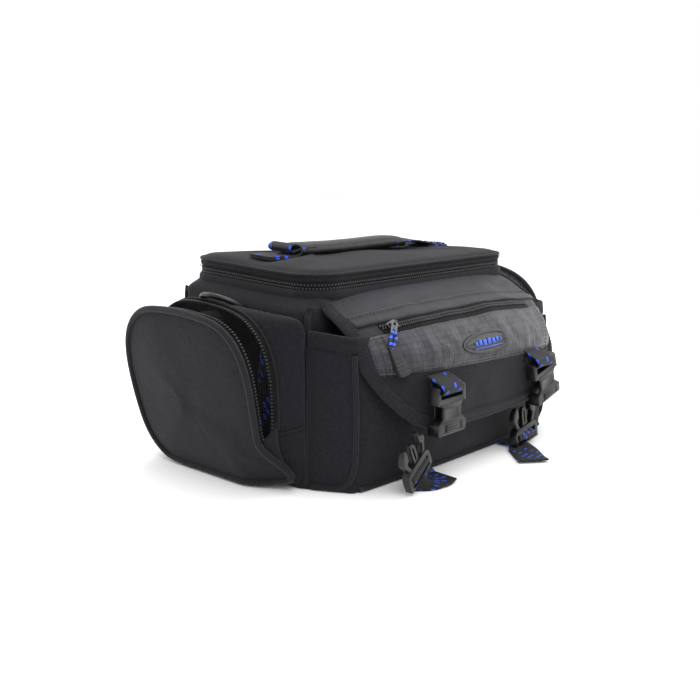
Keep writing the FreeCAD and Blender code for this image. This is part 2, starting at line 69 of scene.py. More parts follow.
# Sizes taken from the frame, in millimetres.
BODY_LOW, BODY_HIGH = low_high("body_shell")
RIM_LOW, RIM_HIGH = low_high("rim_band")
RIM_LENGTH, RIM_DEPTH, RIM_RADIUS = RIM_HIGH.x - RIM_LOW.x, RIM_HIGH.y - RIM_LOW.y, 27.0
POCKET_CORNER_X = low_high("front_pocket_shell")[1].x - 0.8
WEB = low_high("handle_webbing")[1].y * 2
UP = Vector((0, 0, 1))
FRONT = Vector((0, -1, 0))


# ---------------------------------------------------------------- curves and surfaces

def smooth(value, low=0.0, high=1.0):
    """0 below low, 1 above high, and an S-curve between."""
    part = min(1.0, max(0.0, (value - low) / (high - low)))
    return part * part * (3 - 2 * part)


def mix(first, last, part):
    return first + (last - first) * part


def ripple(x, y, z, size, seed=0.0):
    """Gentle noise from -1 to 1 whose bumps are about size millimetres across."""
    return noise.noise(Vector((x / size + seed, y / size - seed, z / size + 2 * seed)))


def through(points, part, closed=False):
    """A point on the smooth line through the points, part from 0 to 1 along their chords."""
    points = list(points) + [points[0]] if closed else points
    spans = [math.dist(a, b) for a, b in zip(points, points[1:])]
    left = min(1.0, max(0.0, part)) * sum(spans)
    place = 0
    while place < len(spans) - 1 and left > spans[place]:
        left -= spans[place]
        place += 1
    t = min(1.0, left / spans[place])
    before = points[place - 1] if place else points[-2 if closed else 0]
    after = points[place + 2] if place + 2 < len(points) else points[1 if closed else -1]
    result = []
    for p0, p1, p2, p3 in zip(before, points[place], points[place + 1], after):
        result.append(0.5 * (2 * p1 + (p2 - p0) * t + (2 * p0 - 5 * p1 + 4 * p2 - p3) * t * t
                             + (3 * p1 - p0 - 3 * p2 + p3) * t ** 3))
    return result


def chords(line):
    """How far along a line each of its points is, in the line's own unit."""
    total = [0.0]
    for a, b in zip(line, line[1:]):
        total.append(total[-1] + math.dist(a, b))
    return total


def paces(line, normals, pitch, start, phase):
    """Every pitch along a line, from start on: the point there, the way along and the normal."""
    total, place = chords(line), 0
    for step in range(int((total[-1] - start) / pitch)):
        along = start + (step + phase) * pitch
        while place < len(total) - 2 and total[place + 1] < along:
            place += 1
        part = (along - total[place]) / max(1e-6, total[place + 1] - total[place])
        a, b = Vector(line[place]), Vector(line[place + 1])
        yield a + (b - a) * part, (b - a).normalized(), Vector(normals[place]).normalized()


def evened(points, count, closed=False):
    """count points spread evenly along the smooth line through the points."""
    fine = [through(points, step / (count * 6), closed) for step in range(count * 6 + 1)]
    total, result, place = chords(fine), [], 0
    for step in range(count):
        wanted = total[-1] * step / (count if closed else count - 1)
        while place < len(total) - 2 and total[place + 1] < wanted:
            place += 1
        part = min(1.0, (wanted - total[place]) / max(1e-9, total[place + 1] - total[place]))
        result.append([mix(a, b, part) for a, b in zip(fine[place], fine[place + 1])])
    return result


def round_plan(length, depth, radius, side_steps=(36, 22), corner_steps=10):
    """A rounded rectangle's points, anticlockwise from the middle of its far side."""
    radius = max(0.5, min(radius, length / 2 - 0.1, depth / 2 - 0.1))
    half_x, half_y = length / 2 - radius, depth / 2 - radius
    points = []

    def straight(start, end, steps):
        for step in range(steps):
            points.append((mix(start[0], end[0], step / steps), mix(start[1], end[1], step / steps)))

    def corner(centre, angle):
        for step in range(corner_steps):
            turn = math.radians(angle + 90 * step / corner_steps)
            points.append((centre[0] + radius * math.cos(turn), centre[1] + radius * math.sin(turn)))

    straight((0, half_y + radius), (-half_x, half_y + radius), side_steps[0] // 2)
    corner((-half_x, half_y), 90)
    straight((-half_x - radius, half_y), (-half_x - radius, -half_y), side_steps[1])
    corner((-half_x, -half_y), 180)
    straight((-half_x, -half_y - radius), (half_x, -half_y - radius), side_steps[0])
    corner((half_x, -half_y), 270)
    straight((half_x + radius, -half_y), (half_x + radius, half_y), side_steps[1])
    corner((half_x, half_y), 0)
    straight((half_x, half_y + radius), (0, half_y + radius), side_steps[0] // 2)
    return points


def lengths(line, closed=False):
    """How far along the line each point is, in metres, with the closing span last if closed."""
    ends = line[1:] + ([line[0]] if closed else [])
    total, result = 0.0, [0.0]
    for a, b in zip(line, ends):
        total += math.dist(a, b) * MM
        result.append(total)
    return result


# ---------------------------------------------------------------- meshes

def deselect():
    for thing in bpy.context.selected_objects:
        thing.select_set(False)


def activate(piece):
    deselect()
    piece.select_set(True)
    bpy.context.view_layer.objects.active = piece


def new_piece(name, points, faces, uv=None, material=None):
    """A mesh object from points in millimetres, with its cloth coordinates in metres."""
    mesh = bpy.data.meshes.new(name)
    mesh.from_pydata([Vector(point) * MM for point in points], [], faces)
    layer = mesh.uv_layers.new(name="cloth")
    if uv:
        for polygon, corners in zip(mesh.polygons, uv):
            for loop, place in zip(polygon.loop_indices, corners):
                layer.data[loop].uv = place
    mesh.validate()
    for polygon in mesh.polygons:
        polygon.use_smooth = True
    piece = bpy.data.objects.new(name, mesh)
    bpy.context.scene.collection.objects.link(piece)
    if material:
        mesh.materials.append(material)
    return piece


def grid_piece(name, rows, material, around=False, flip=False, cap_first=False, cap_last=False):
    """A cloth surface from rows of points; around joins each row's ends. UVs run along the cloth."""
    count = len(rows[0])
    points = [point for row in rows for point in row]
    middle = len(rows) // 2
    across = lengths(list(rows[middle]), around)
    down = [0.0]
    for upper, lower in zip(rows, rows[1:]):
        down.append(down[-1] + max(math.dist(upper[0], lower[0]),
                                   math.dist(upper[count // 2], lower[count // 2])) * MM)
    faces, uv = [], []
    spans = count if around else count - 1
    for row in range(len(rows) - 1):
        for column in range(spans):
            following = (column + 1) % count
            corners = [row * count + column, (row + 1) * count + column,
                       (row + 1) * count + following, row * count + following]
            places = [(across[column], down[row]), (across[column], down[row + 1]),
                      (across[column + 1], down[row + 1]), (across[column + 1], down[row])]
            faces.append(corners[::-1] if flip else corners)
            uv.append(places[::-1] if flip else places)
    for wanted, row, turn in ((cap_first, 0, True), (cap_last, len(rows) - 1, False)):
        if wanted:
            ring = list(range(row * count, (row + 1) * count))
            if turn != flip:
                ring.reverse()
            faces.append(ring)
            uv.append([(points[i][0] * MM, points[i][1] * MM) for i in ring])
    return new_piece(name, points, faces, uv, material)


def apply_modifier(piece, kind, **settings):
    activate(piece)
    modifier = piece.modifiers.new(kind.lower(), kind)
    for key, value in settings.items():
        setattr(modifier, key, value)
    bpy.ops.object.modifier_apply(modifier=modifier.name)


def thicken(piece, thickness, offset=-1.0):
    """Gives a cloth surface its thickness; -1 grows inwards from the face's side."""
    apply_modifier(piece, "SOLIDIFY", thickness=thickness * MM, offset=offset, use_even_offset=False)


def joined(name, pieces):
    """Several meshes made into one piece, each keeping its own materials."""
    deselect()
    for piece in pieces:
        piece.select_set(True)
    bpy.context.view_layer.objects.active = pieces[0]
    if len(pieces) > 1:
        bpy.ops.object.join()
    piece = bpy.context.view_layer.objects.active
    piece.name = name
    piece.data.name = name
    return piece


def frames_along(line, closed=False, up=(0, 0, 1)):
    """At each point of a line: the way along it, a side and a normal that change little by little."""
    count = len(line)
    result = []
    normal = Vector(up)
    for place in range(count):
        before = Vector(line[place - 1] if place or closed else line[0])
        after = Vector(line[(place + 1) % count] if place < count - 1 or closed else line[-1])
        ahead = (after - before).normalized()
        normal = (normal - ahead * normal.dot(ahead))
        if normal.length < 1e-6:
            normal = ahead.orthogonal()
        normal.normalize()
        result.append((ahead, ahead.cross(normal).normalized(), normal.copy()))
    return result


def tube_piece(name, line, radius, material, closed=False, sides=10, up=(0, 0, 1)):
    """A round cord along a line."""
    rows = []
    for point, (_, side, normal) in zip(line, frames_along(line, closed, up)):
        rows.append([tuple(Vector(point) + side * math.cos(a) * radius + normal * math.sin(a) * radius)
                     for a in (2 * math.pi * step / sides for step in range(sides))])
    if closed:
        rows.append(rows[0])
    piece = grid_piece(name, rows, material, around=True, flip=True, cap_first=not closed,
                       cap_last=not closed)
    if closed:
        merge_points(piece)
    return piece


def merge_points(piece, distance=0.01):
    """Joins points that lie on each other and turns the faces outwards."""
    activate(piece)
    bpy.ops.object.mode_set(mode="EDIT")
    bpy.ops.mesh.select_all(action="SELECT")
    bpy.ops.mesh.remove_doubles(threshold=distance * MM)
    bpy.ops.mesh.normals_make_consistent(inside=False)
    bpy.ops.object.mode_set(mode="OBJECT")


def look_along(piece, way):
    """Turns an open surface so that its faces look a way."""
    if sum(polygon.normal.dot(way) * polygon.area for polygon in piece.data.polygons) < 0:
        piece.data.flip_normals()


def flat_cloth(piece, wanted, across, up):
    """Lays the cloth coordinates of the wanted faces out flat, along two of the axes."""
    layer = piece.data.uv_layers.active.data
    for polygon in piece.data.polygons:
        if wanted(polygon):
            for loop in polygon.loop_indices:
                place = piece.data.vertices[piece.data.loops[loop].vertex_index].co
                layer[loop].uv = (place[across], place[up])


def ribbon_piece(name, line, sides, width, thickness, material, steps=6):
    """Webbing along a line; sides gives the way across it at each point."""
    rows = []
    for point, side in zip(line, sides):
        across = side.normalized() * width
        rows.append([tuple(Vector(point) + across * (step / steps - 0.5)) for step in range(steps + 1)])
    piece = grid_piece(name, rows, material)
    thicken(piece, thickness, 0.0)
    apply_modifier(piece, "BEVEL", width=thickness * 0.3 * MM, segments=2, limit_method="ANGLE")
    return piece


STITCH_PITCH, STITCH_LENGTH, STITCH_WIDTH = 3.2, 2.3, 0.42
STITCH_FACES = ((0, 2, 1), (0, 3, 2), (4, 1, 2), (4, 2, 3), (0, 1, 5), (0, 5, 3), (4, 5, 1), (4, 3, 5))


def stitch_points(line, normals):
    """Corner points and faces of a run of sewn stitches lying on a surface."""
    corners, faces = [], []
    for centre, ahead, normal in paces(line, normals, STITCH_PITCH, 0.0, 0.5):
        side = ahead.cross(normal).normalized()
        faces += [tuple(len(corners) + corner for corner in face) for face in STITCH_FACES]
        corners += [centre - ahead * STITCH_LENGTH / 2 - normal * 0.1, centre + side * STITCH_WIDTH,
                    centre + normal * 0.45, centre - side * STITCH_WIDTH,
                    centre + ahead * STITCH_LENGTH / 2 - normal * 0.1, centre - normal * 0.3]
    return corners, faces


def sewn(name, runs, material):
    """One piece of thread for several sewn lines."""
    points, faces = [], []
    for line, normals in runs:
        corners, triangles = stitch_points(line, normals)
        faces += [tuple(index + len(points) for index in triangle) for triangle in triangles]
        points += corners
    return new_piece(name, points, faces, None, material)


def stitching(name, runs, material, body):
    """One piece of thread for every sewn line on a body."""
    piece = sewn(name, runs, material)
    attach(piece, body)
    return piece


def tooth_row(name, line, normals, material, pitch, reach, shift, lean):
    """A zip's row of coil teeth: rounded bars across the line, on the side that lean points to."""
    points, faces = [], []
    for centre, ahead, normal in paces(line, normals, pitch, shift, 0):
        across = ahead.cross(normal).normalized() * lean
        first = len(points)
        for out, wide in ((-1.5, 0.55), (-0.8, 0.72), (0.4, 0.8), (1.0, 0.55)):
            for high, broad in ((0.0, 1.0), (1.05, 0.72)):
                level = centre + across * out * reach / 1.9 + normal * high * (1.0 if out < 0.9 else 0.8)
                points += [level - ahead * wide * broad, level + ahead * wide * broad]
        quads = []
        for station in range(3):
            here, there = first + station * 4, first + station * 4 + 4
            quads += [(here, here + 2, there + 2, there), (here + 1, there + 1, there + 3, here + 3),
                      (here + 2, here + 3, there + 3, there + 2), (here, there, there + 1, here + 1)]
        quads += [(first, first + 1, first + 3, first + 2),
                  (first + 12, first + 14, first + 15, first + 13)]
        faces += [quad if lean > 0 else quad[::-1] for quad in quads]
    return new_piece(name, points, faces, None, material)


def rest_on_floor(piece, level=0.25):
    """Whatever would sag through the floor lies on it."""
    for vertex in piece.data.vertices:
        vertex.co.z = max(vertex.co.z, level * MM)


def ease_corner(piece):
    """The mouth's left rear corner stands a little high and drawn in, where the stuffing pushes it."""
    for vertex in piece.data.vertices:
        x, y, z = vertex.co / MM
        lift = 4.6 * smooth(-x, -10, 128) * smooth(y, -60, 78) * smooth(z, 112, 137)
        drawn = 6.0 * smooth(-x, 96, 140) * smooth(y, 5, 72) * smooth(z, 100,
                                                                      122) * (1 - smooth(z, 127, 137))
        vertex.co.z += lift * MM
        vertex.co.x += drawn * MM
    return piece


# ---------------------------------------------------------------- materials

def linear(code):
    """An sRGB hex colour as linear red, green and blue."""
    parts = [int(code[place:place + 2], 16) / 255 for place in (1, 3, 5)]
    return [part / 12.92 if part <= 0.04045 else ((part + 0.055) / 1.055) ** 2.4 for part in parts] + [1.0]


def add_node(tree, kind, settings=None, links=None):
    """A node with its settings, by socket or property, and what feeds its sockets."""
    item = tree.nodes.new(kind)
    for key, value in (settings or {}).items():
        if isinstance(key, int) or key in item.inputs:
            item.inputs[key].default_value = value
        else:
            setattr(item, key, value)
    for key, source in (links or {}).items():
        tree.links.new(source, item.inputs[key])
    return item


def start_material(name, roughness, **sockets):
    """A material with one shader whose steady values stand on its own sockets."""
    material = bpy.data.materials.new(name)
    material.use_nodes = True
    tree = material.node_tree
    tree.nodes.clear()
    shader = add_node(tree, "ShaderNodeBsdfPrincipled", {"Roughness": roughness, **sockets})
    add_node(tree, "ShaderNodeOutputMaterial", links={"Surface": shader.outputs[0]})
    return material, tree, shader


def bands(tree, source, direction, spacing):
    """Sine bands across a direction, one every spacing metres."""
    return add_node(tree, "ShaderNodeTexWave",
                    {"wave_type": "BANDS", "bands_direction": direction, "wave_profile": "SIN",
                     "Scale": math.pi / 10 / spacing, "Distortion": 0.0},
                    {"Vector": source}).outputs["Fac"]


def mottled(tree, shader, source, colour, size, depth=0.5, detail=4.0):
    """Colour that drifts down to a darker shade of itself in patches about size metres across."""
    patches = add_node(tree, "ShaderNodeTexNoise",
                       {"Scale": 1 / size, "Detail": detail, "Roughness": 0.65},
                       {"Vector": source})
    spread = add_node(tree, "ShaderNodeMapRange", {"From Min": 0.32, "From Max": 0.68},
                      {"Value": patches.outputs["Fac"]})
    light = list(colour)[:3]
    colour = add_node(tree, "ShaderNodeMix",
                      {"data_type": "RGBA", 6: [part * depth for part in light] + [1],
                                              7: light + [1]}, {0: spread.outputs[0]})
    tree.links.new(colour.outputs[2], shader.inputs["Base Color"])
    return colour


def bumped(tree, shader, height, strength, distance, before=None):
    links = {"Height": height}
    if before:
        links["Normal"] = before.outputs[0]
    bump = add_node(tree, "ShaderNodeBump", {"Strength": strength, "Distance": distance}, links)
    tree.links.new(bump.outputs[0], shader.inputs["Normal"])
    return bump


def woven(name, colour, thread, roughness=0.86, sheen=0.07, strength=0.5, crumple=0.35, patch=0.006):
    """Plain-weave cloth: over-and-under threads, slight mottling and a soft crumple."""
    material, tree, shader = start_material(name, roughness,
                                            **{"Sheen Weight": sheen, "Sheen Roughness": 0.5,
                                                                "Specular IOR Level": 0.16})
    cloth = add_node(tree, "ShaderNodeTexCoord").outputs["UV"]
    warp, weft = bands(tree, cloth, "X", thread), bands(tree, cloth, "Y", thread)
    weave = add_node(tree, "ShaderNodeMath", {"operation": "MULTIPLY"}, {0: warp, 1: weft})
    fuzz = add_node(tree, "ShaderNodeTexNoise", {"Scale": 0.6 / thread, "Detail": 3.0},
                    {"Vector": cloth})
    height = add_node(tree, "ShaderNodeMath", {"operation": "ADD"},
                      {0: weave.outputs[0], 1: fuzz.outputs["Fac"]})
    folds = add_node(tree, "ShaderNodeTexNoise", {"Scale": 55.0, "Detail": 4.0, "Distortion": 0.5},
                     {"Vector": cloth})
    first = bumped(tree, shader, folds.outputs["Fac"], crumple, 0.0016)
    bumped(tree, shader, height.outputs[0], strength, 0.00028, first)
    mottled(tree, shader, cloth, colour, patch)
    return material


def pack_cloth(shades):
    """Coated polyester pack cloth, woven: matt charcoal, 1 mm threads, drawn coarse enough to see."""
    return woven("pack_cloth", shades.cloth, 0.0010, strength=0.6, patch=0.0032)


def lining_cloth(shades):
    """Thin polyester lining, woven: near black and flat."""
    return woven("lining_cloth", shades.lining, 0.0008, crumple=0.6)


def piping_cloth(shades):
    """Bias-cut cover of the piping cord: smoother than the pack cloth and a shade darker."""
    return woven("piping_cloth", shades.piping, 0.0008, roughness=0.7, crumple=0.1, patch=0.004)


def zip_tape_cloth(shades):
    """Zip tape, herringbone woven: flat black."""
    return woven("zip_tape_cloth", shades.tape, 0.0008, crumple=0.1)


def flap_nylon(shades):
    """Thin coated nylon, woven and creased: a little lighter than the pack cloth, with a low sheen."""
    return woven("flap_nylon", shades.flap, 0.0007, roughness=0.5, sheen=0.12, strength=0.3,
                 crumple=0.8, patch=0.010)


def ripstop_nylon(shades):
    """Ripstop nylon, woven: a raised square grid every 5.5 mm on thin shiny cloth."""
    material, tree, shader = start_material("ripstop_nylon", 0.46, **{"Sheen Weight": 0.14,
                                                                      "Specular IOR Level": 0.4})
    cloth = add_node(tree, "ShaderNodeTexCoord").outputs["UV"]
    lines = []
    for direction in ("X", "Y"):
        sharp = add_node(tree, "ShaderNodeMapRange", {"From Min": 0.80, "From Max": 0.95},
                         {"Value": bands(tree, cloth, direction, 0.0055)})
        lines.append(sharp.outputs[0])
    grid = add_node(tree, "ShaderNodeMath", {"operation": "MAXIMUM"}, {0: lines[0], 1: lines[1]})
    puckers = add_node(tree, "ShaderNodeTexNoise", {"Scale": 62.0, "Detail": 3.0, "Distortion": 0.8},
                       {"Vector": cloth})
    first = bumped(tree, shader, puckers.outputs["Fac"], 0.5, 0.0022)
    bumped(tree, shader, grid.outputs[0], 0.5, 0.0003, first)
    colour = mottled(tree, shader, cloth, shades.ripstop, 0.012)
    darker = add_node(tree, "ShaderNodeMix",
                      {"data_type": "RGBA", "blend_type": "MULTIPLY", 7: (0.42, 0.42, 0.44, 1)},
                      {0: grid.outputs[0], 6: colour.outputs[2]})
    tree.links.new(darker.outputs[2], shader.inputs["Base Color"])
    return material


def grosgrain(shades):
    """Grosgrain edge tape, woven: fine ribs across its length, matt black."""
    material, tree, shader = start_material("grosgrain", 0.8,
                                            **{"Sheen Weight": 0.06, "Specular IOR Level": 0.2})
    cloth = add_node(tree, "ShaderNodeTexCoord").outputs["UV"]
    bumped(tree, shader, bands(tree, cloth, "Y", 0.0011), 0.6, 0.0003)
    mottled(tree, shader, cloth, shades.binding, 0.004)
    return material


def flecked_webbing(shades):
    """Polypropylene webbing, woven: ribbed near black with royal blue flecks in staggered rows."""
    material, tree, shader = start_material("flecked_webbing", 0.6,
                                            **{"Sheen Weight": 0.06, "Specular IOR Level": 0.25})
    cloth = add_node(tree, "ShaderNodeTexCoord").outputs["UV"]
    split = add_node(tree, "ShaderNodeSeparateXYZ", links={0: cloth})

    def sums(operation, *values):
        """A sum on values; numbers are set on the node and outputs are wired to it."""
        numbers = {place: value for place, value in enumerate(values) if isinstance(value, float)}
        wires = {place: value for place, value in enumerate(values) if place not in numbers}
        return add_node(tree, "ShaderNodeMath", {"operation": operation, **numbers}, wires).outputs[0]

    rows = sums("DIVIDE", split.outputs[1], 0.0046)
    row = sums("FLOOR", rows)
    columns = sums("ADD", sums("DIVIDE", split.outputs[0], 0.0074), sums("MULTIPLY", row, 0.5))
    column = sums("FLOOR", columns)
    along = sums("ABSOLUTE", sums("SUBTRACT", sums("FRACT", rows), 0.5))
    lean = sums("MULTIPLY", sums("SUBTRACT", sums("FRACT", rows), 0.5), 0.35)
    across = sums("ABSOLUTE", sums("ADD", sums("SUBTRACT", sums("FRACT", columns), 0.5), lean))
    short = sums("LESS_THAN", along, 0.41)
    narrow = sums("LESS_THAN", across, 0.14)
    cell = add_node(tree, "ShaderNodeCombineXYZ", links={0: column, 1: row})
    chance = add_node(tree, "ShaderNodeTexWhiteNoise", {"noise_dimensions": "2D"},
                      {"Vector": cell.outputs[0]})
    kept = sums("LESS_THAN", chance.outputs["Value"], 0.5)
    fleck = sums("MULTIPLY", sums("MULTIPLY", short, narrow), kept)
    bright = add_node(tree, "ShaderNodeMix",
                      {"data_type": "RGBA", 6: [part * 0.45 for part in shades.fleck[:3]] + [1],
                                              7: list(shades.fleck)}, {0: chance.outputs["Value"]})
    colour = mottled(tree, shader, cloth, shades.webbing, 0.003)
    final = add_node(tree, "ShaderNodeMix", {"data_type": "RGBA"},
                     {0: fleck, 6: colour.outputs[2], 7: bright.outputs[2]})
    tree.links.new(final.outputs[2], shader.inputs["Base Color"])
    ribs = bands(tree, cloth, "X", 0.0019)
    threads = bands(tree, cloth, "Y", 0.0016)
    height = sums("ADD", sums("MULTIPLY", ribs, 0.7), sums("MULTIPLY", threads, 0.5))
    bumped(tree, shader, height, 0.8, 0.0005)
    return material


def leatherette(shades):
    """Soft vinyl grip wrap, embossed: fine leather grain with a satin lustre."""
    material, tree, shader = start_material("leatherette", 0.42, **{"Specular IOR Level": 0.32})
    cloth = add_node(tree, "ShaderNodeTexCoord").outputs["UV"]
    grain = add_node(tree, "ShaderNodeTexVoronoi", {"Scale": 900.0}, {"Vector": cloth})
    creases = add_node(tree, "ShaderNodeTexNoise", {"Scale": 70.0, "Detail": 5.0, "Distortion": 1.0},
                       {"Vector": cloth})
    first = bumped(tree, shader, creases.outputs["Fac"], 0.35, 0.0014)
    bumped(tree, shader, grain.outputs["Distance"], 0.25, 0.0003, first)
    mottled(tree, shader, cloth, shades.grip, 0.012)
    return material


def moulded(name, colour, roughness, grain, strength, **sockets):
    """Moulded plastic or enamel: even colour, faint cloudiness and a fine surface from the mould."""
    material, tree, shader = start_material(name, roughness, **sockets)
    place = add_node(tree, "ShaderNodeTexCoord").outputs["Object"]
    fine = add_node(tree, "ShaderNodeTexNoise", {"Scale": 1 / grain, "Detail": 3.0}, {"Vector": place})
    bumped(tree, shader, fine.outputs["Fac"], strength, grain * 0.12)
    mottled(tree, shader, place, colour, 0.012, 0.7)
    wear = add_node(tree, "ShaderNodeTexNoise", {"Scale": 160.0, "Detail": 4.0}, {"Vector": place})
    worn = add_node(tree, "ShaderNodeMapRange", {"To Min": roughness - 0.07, "To Max": roughness + 0.12},
                    {"Value": wear.outputs["Fac"]})
    tree.links.new(worn.outputs[0], shader.inputs["Roughness"])
    return material


def braided_cord(shades):
    """Braided zip-pull cord: a diagonal braid in near black with blue flecks."""
    material, tree, shader = start_material("braided_cord", 0.65, **{"Sheen Weight": 0.06})
    cloth = add_node(tree, "ShaderNodeTexCoord").outputs["UV"]
    braid = bands(tree, cloth, "DIAGONAL", 0.0016)
    bumped(tree, shader, braid, 0.8, 0.0004)
    flecks = bands(tree, cloth, "Y", 0.0052)
    spots = add_node(tree, "ShaderNodeMapRange", {"From Min": 0.62, "From Max": 0.72}, {"Value": flecks})
    colour = add_node(tree, "ShaderNodeMix",
                      {"data_type": "RGBA", 6: list(shades.webbing), 7: list(shades.fleck)},
                      {0: spots.outputs[0]})
    tree.links.new(colour.outputs[2], shader.inputs["Base Color"])
    return material


def sewing_thread(shades):
    """Bonded polyester thread, twisted: dark grey, a shade darker than the cloth."""
    return moulded("sewing_thread", shades.thread, 0.6, 0.0008, 0.3,
                   **{"Sheen Weight": 0.05, "Specular IOR Level": 0.2})


def pale_floor(shades):
    """Matt studio paper, almost white."""
    material, tree, shader = start_material("pale_floor", 0.9)
    place = add_node(tree, "ShaderNodeTexCoord").outputs["Object"]
    mottled(tree, shader, place, shades.floor, 0.4, 0.97, 1.0)
    return material


finishes = {}


def make_finishes(shades):
    finishes.update({
        "cloth": pack_cloth(shades), "lining": lining_cloth(shades), "piping": piping_cloth(shades),
        "tape": zip_tape_cloth(shades), "nylon": flap_nylon(shades), "ripstop": ripstop_nylon(shades),
        "binding": grosgrain(shades), "webbing": flecked_webbing(shades), "grip": leatherette(shades),
        "cord": braided_cord(shades), "thread": sewing_thread(shades), "floor": pale_floor(shades),
        "coil": moulded("nylon_coil", linear("#1d1d20"), 0.38, 0.0006, 0.1),
        "acetal": moulded("moulded_acetal", shades.plastic, 0.34, 0.0009, 0.15,
                          **{"Specular IOR Level": 0.4}),
        "ring": moulded("moulded_nylon", shades.plastic, 0.32, 0.0009, 0.12),
        "enamel": moulded("black_enamel", linear("#121214"), 0.3, 0.0012, 0.1, **{"Coat Weight": 0.4}),
        "nickel": moulded("dark_nickel_plate", linear("#77777c"), 0.34, 0.0007, 0.15, Metallic=1.0),
        "soft_grip": moulded("moulded_soft_grip", linear("#1a1a1d"), 0.55, 0.0007, 0.3),
        "badge": moulded("badge_rubber", linear("#1c1c1f"), 0.42, 0.0008, 0.2),
        "blue": moulded("blue_enamel", linear("#2450b8"), 0.35, 0.001, 0.1),
        "board": moulded("stiffener_board", linear("#3d3d40"), 0.6, 0.001, 0.2),
    })


def settle(piece, body, slot, *nodes):
    """Says which body a piece rides on and the CAD nodes it stands for; the slot naming its finish is not used."""
    if piece.name.startswith(("body_", "rim_", "lid_", "handle_", "anchor_", "grip_")):
        ease_corner(piece)
    rest_on_floor(piece)
    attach(piece, body)
    if nodes:
        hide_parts(*nodes)
    return piece


# ---------------------------------------------------------------- settings

def colour_setting(name, description, code):
    return bpy.props.FloatVectorProperty(name=name, description=description, subtype="COLOR", size=4,
                                         min=0.0, max=1.0, default=linear(code))


def length_setting(name, description, millimetres):
    return bpy.props.FloatProperty(name=name, description=description, unit="LENGTH", subtype="DISTANCE",
                                   min=0.0, default=millimetres * MM)


class TAILBAG_PG_colours(bpy.types.PropertyGroup):
    """The colours of the bag's cloths and fittings."""
    cloth: colour_setting("Pack cloth", "Walls, pockets, lid and panels", "#1c1b21")
    lining: colour_setting("Lining", "Inside of the bag and its pockets", "#0e0e11")
    piping: colour_setting("Piping", "Covered cord along the seams", "#1a1a1f")
    tape: colour_setting("Zip tape", "Cloth that carries the zip teeth", "#0c0c0e")
    flap: colour_setting("Flap nylon", "Thin cloth of the front flap", "#24232b")
    ripstop: colour_setting("Ripstop", "Gridded cloth of the flap's own pocket", "#2b2a34")
    binding: colour_setting("Binding", "Ribbed tape round the flap", "#1a1a1f")
    webbing: colour_setting("Webbing", "Ground colour of the straps", "#121215")
    fleck: colour_setting("Fleck", "Coloured yarn in the webbing", "#2d63ff")
    grip: colour_setting("Grip wrap", "Soft vinyl round the handle", "#18181b")
    plastic: colour_setting("Buckles", "Moulded buckles and D-rings", "#0e0e10")
    thread: colour_setting("Thread", "Sewing thread", "#131317")
    floor: colour_setting("Floor", "Studio paper under the bag", "#ffffff")


class TAILBAG_PG_sizes(bpy.types.PropertyGroup):
    """The sizes that change how the soft parts look."""
    tooth_pitch: length_setting("Tooth pitch", "From one zip tooth to the next", 2.6)
    piping: length_setting("Piping radius", "Radius of the covered cord", 2.3)
    lid_crown: length_setting("Lid crown", "How far the lid's middle stands above its seam", 6.4)
    panel_bulge: length_setting("End panel bulge", "How far an end panel bellies out", 8.0)
    wrinkle: length_setting("Wrinkle", "Depth of the creases in the walls", 0.9)
    webbing: length_setting("Webbing width", "Width of straps and tabs", WEB)


def colours():
    return bpy.context.scene.tail_bag_colours


def size_mm(name):
    return getattr(bpy.context.scene.tail_bag_sizes, name) / MM


# ---------------------------------------------------------------- hard parts

def shaped(name, material, matrix=None, bevel=0.0, segments=3, angle=40):
    """Finishes the active primitive: its place, its rounded edges, its finish and smooth shading."""
    piece = bpy.context.view_layer.objects.active
    if matrix is not None:
        piece.matrix_world = matrix @ piece.matrix_world
    bpy.ops.object.transform_apply(location=True, rotation=True, scale=True)
    if bevel:
        apply_modifier(piece, "BEVEL", width=bevel * MM, segments=segments, limit_method="ANGLE",
                       angle_limit=math.radians(angle))
    activate(piece)
    bpy.ops.object.shade_smooth_by_angle(angle=math.radians(35))
    piece.name = name
    piece.data.name = name
    piece.data.materials.clear()
    piece.data.materials.append(material)
    return piece


def block(size, centre):
    """Adds a box of that size about a centre, in millimetres, ready to be shaped."""
    deselect()
    bpy.ops.mesh.primitive_cube_add(size=1)
    piece = bpy.context.view_layer.objects.active
    piece.scale = Vector(size) * MM
    piece.location = Vector(centre) * MM
    bpy.ops.object.transform_apply(location=True, rotation=True, scale=True)
    return piece


def rod(radius, length, centre, axis="Z", vertices=24):
    """Adds a round bar along an axis."""
    deselect()
    bpy.ops.mesh.primitive_cylinder_add(radius=radius * MM, depth=length * MM, vertices=vertices)
    piece = bpy.context.view_layer.objects.active
    piece.rotation_euler = {"X": (0, math.pi / 2, 0), "Y": (math.pi / 2, 0, 0), "Z": (0, 0, 0)}[axis]
    piece.location = Vector(centre) * MM
    bpy.ops.object.transform_apply(location=True, rotation=True, scale=True)
    return piece


def drawn_bar(stations):
    """A bar drawn up along Z from a rectangle: stations are (x, y, z, width, thickness)."""
    deselect()
    x, y, z, width, thick = stations[0]
    bpy.ops.mesh.primitive_plane_add(size=1)
    piece = bpy.context.view_layer.objects.active
    piece.scale = (width * MM, thick * MM, 1)
    piece.location = Vector((x, y, z)) * MM
    bpy.ops.object.transform_apply(location=True, rotation=True, scale=True)
    bpy.ops.object.mode_set(mode="EDIT")
    bpy.ops.mesh.select_all(action="SELECT")
    for before, after in zip(stations, stations[1:]):
        step = [(new - old) * MM for new, old in zip(after[:3], before[:3])]
        bpy.ops.mesh.extrude_region_move(TRANSFORM_OT_translate={"value": step})
        bpy.ops.transform.resize(value=(after[3] / before[3], after[4] / before[4], 1),
                                 center_override=Vector(after[:3]) * MM)
    bpy.ops.mesh.select_all(action="SELECT")
    bpy.ops.mesh.normals_make_consistent(inside=False)
    bpy.ops.object.mode_set(mode="OBJECT")
    return piece


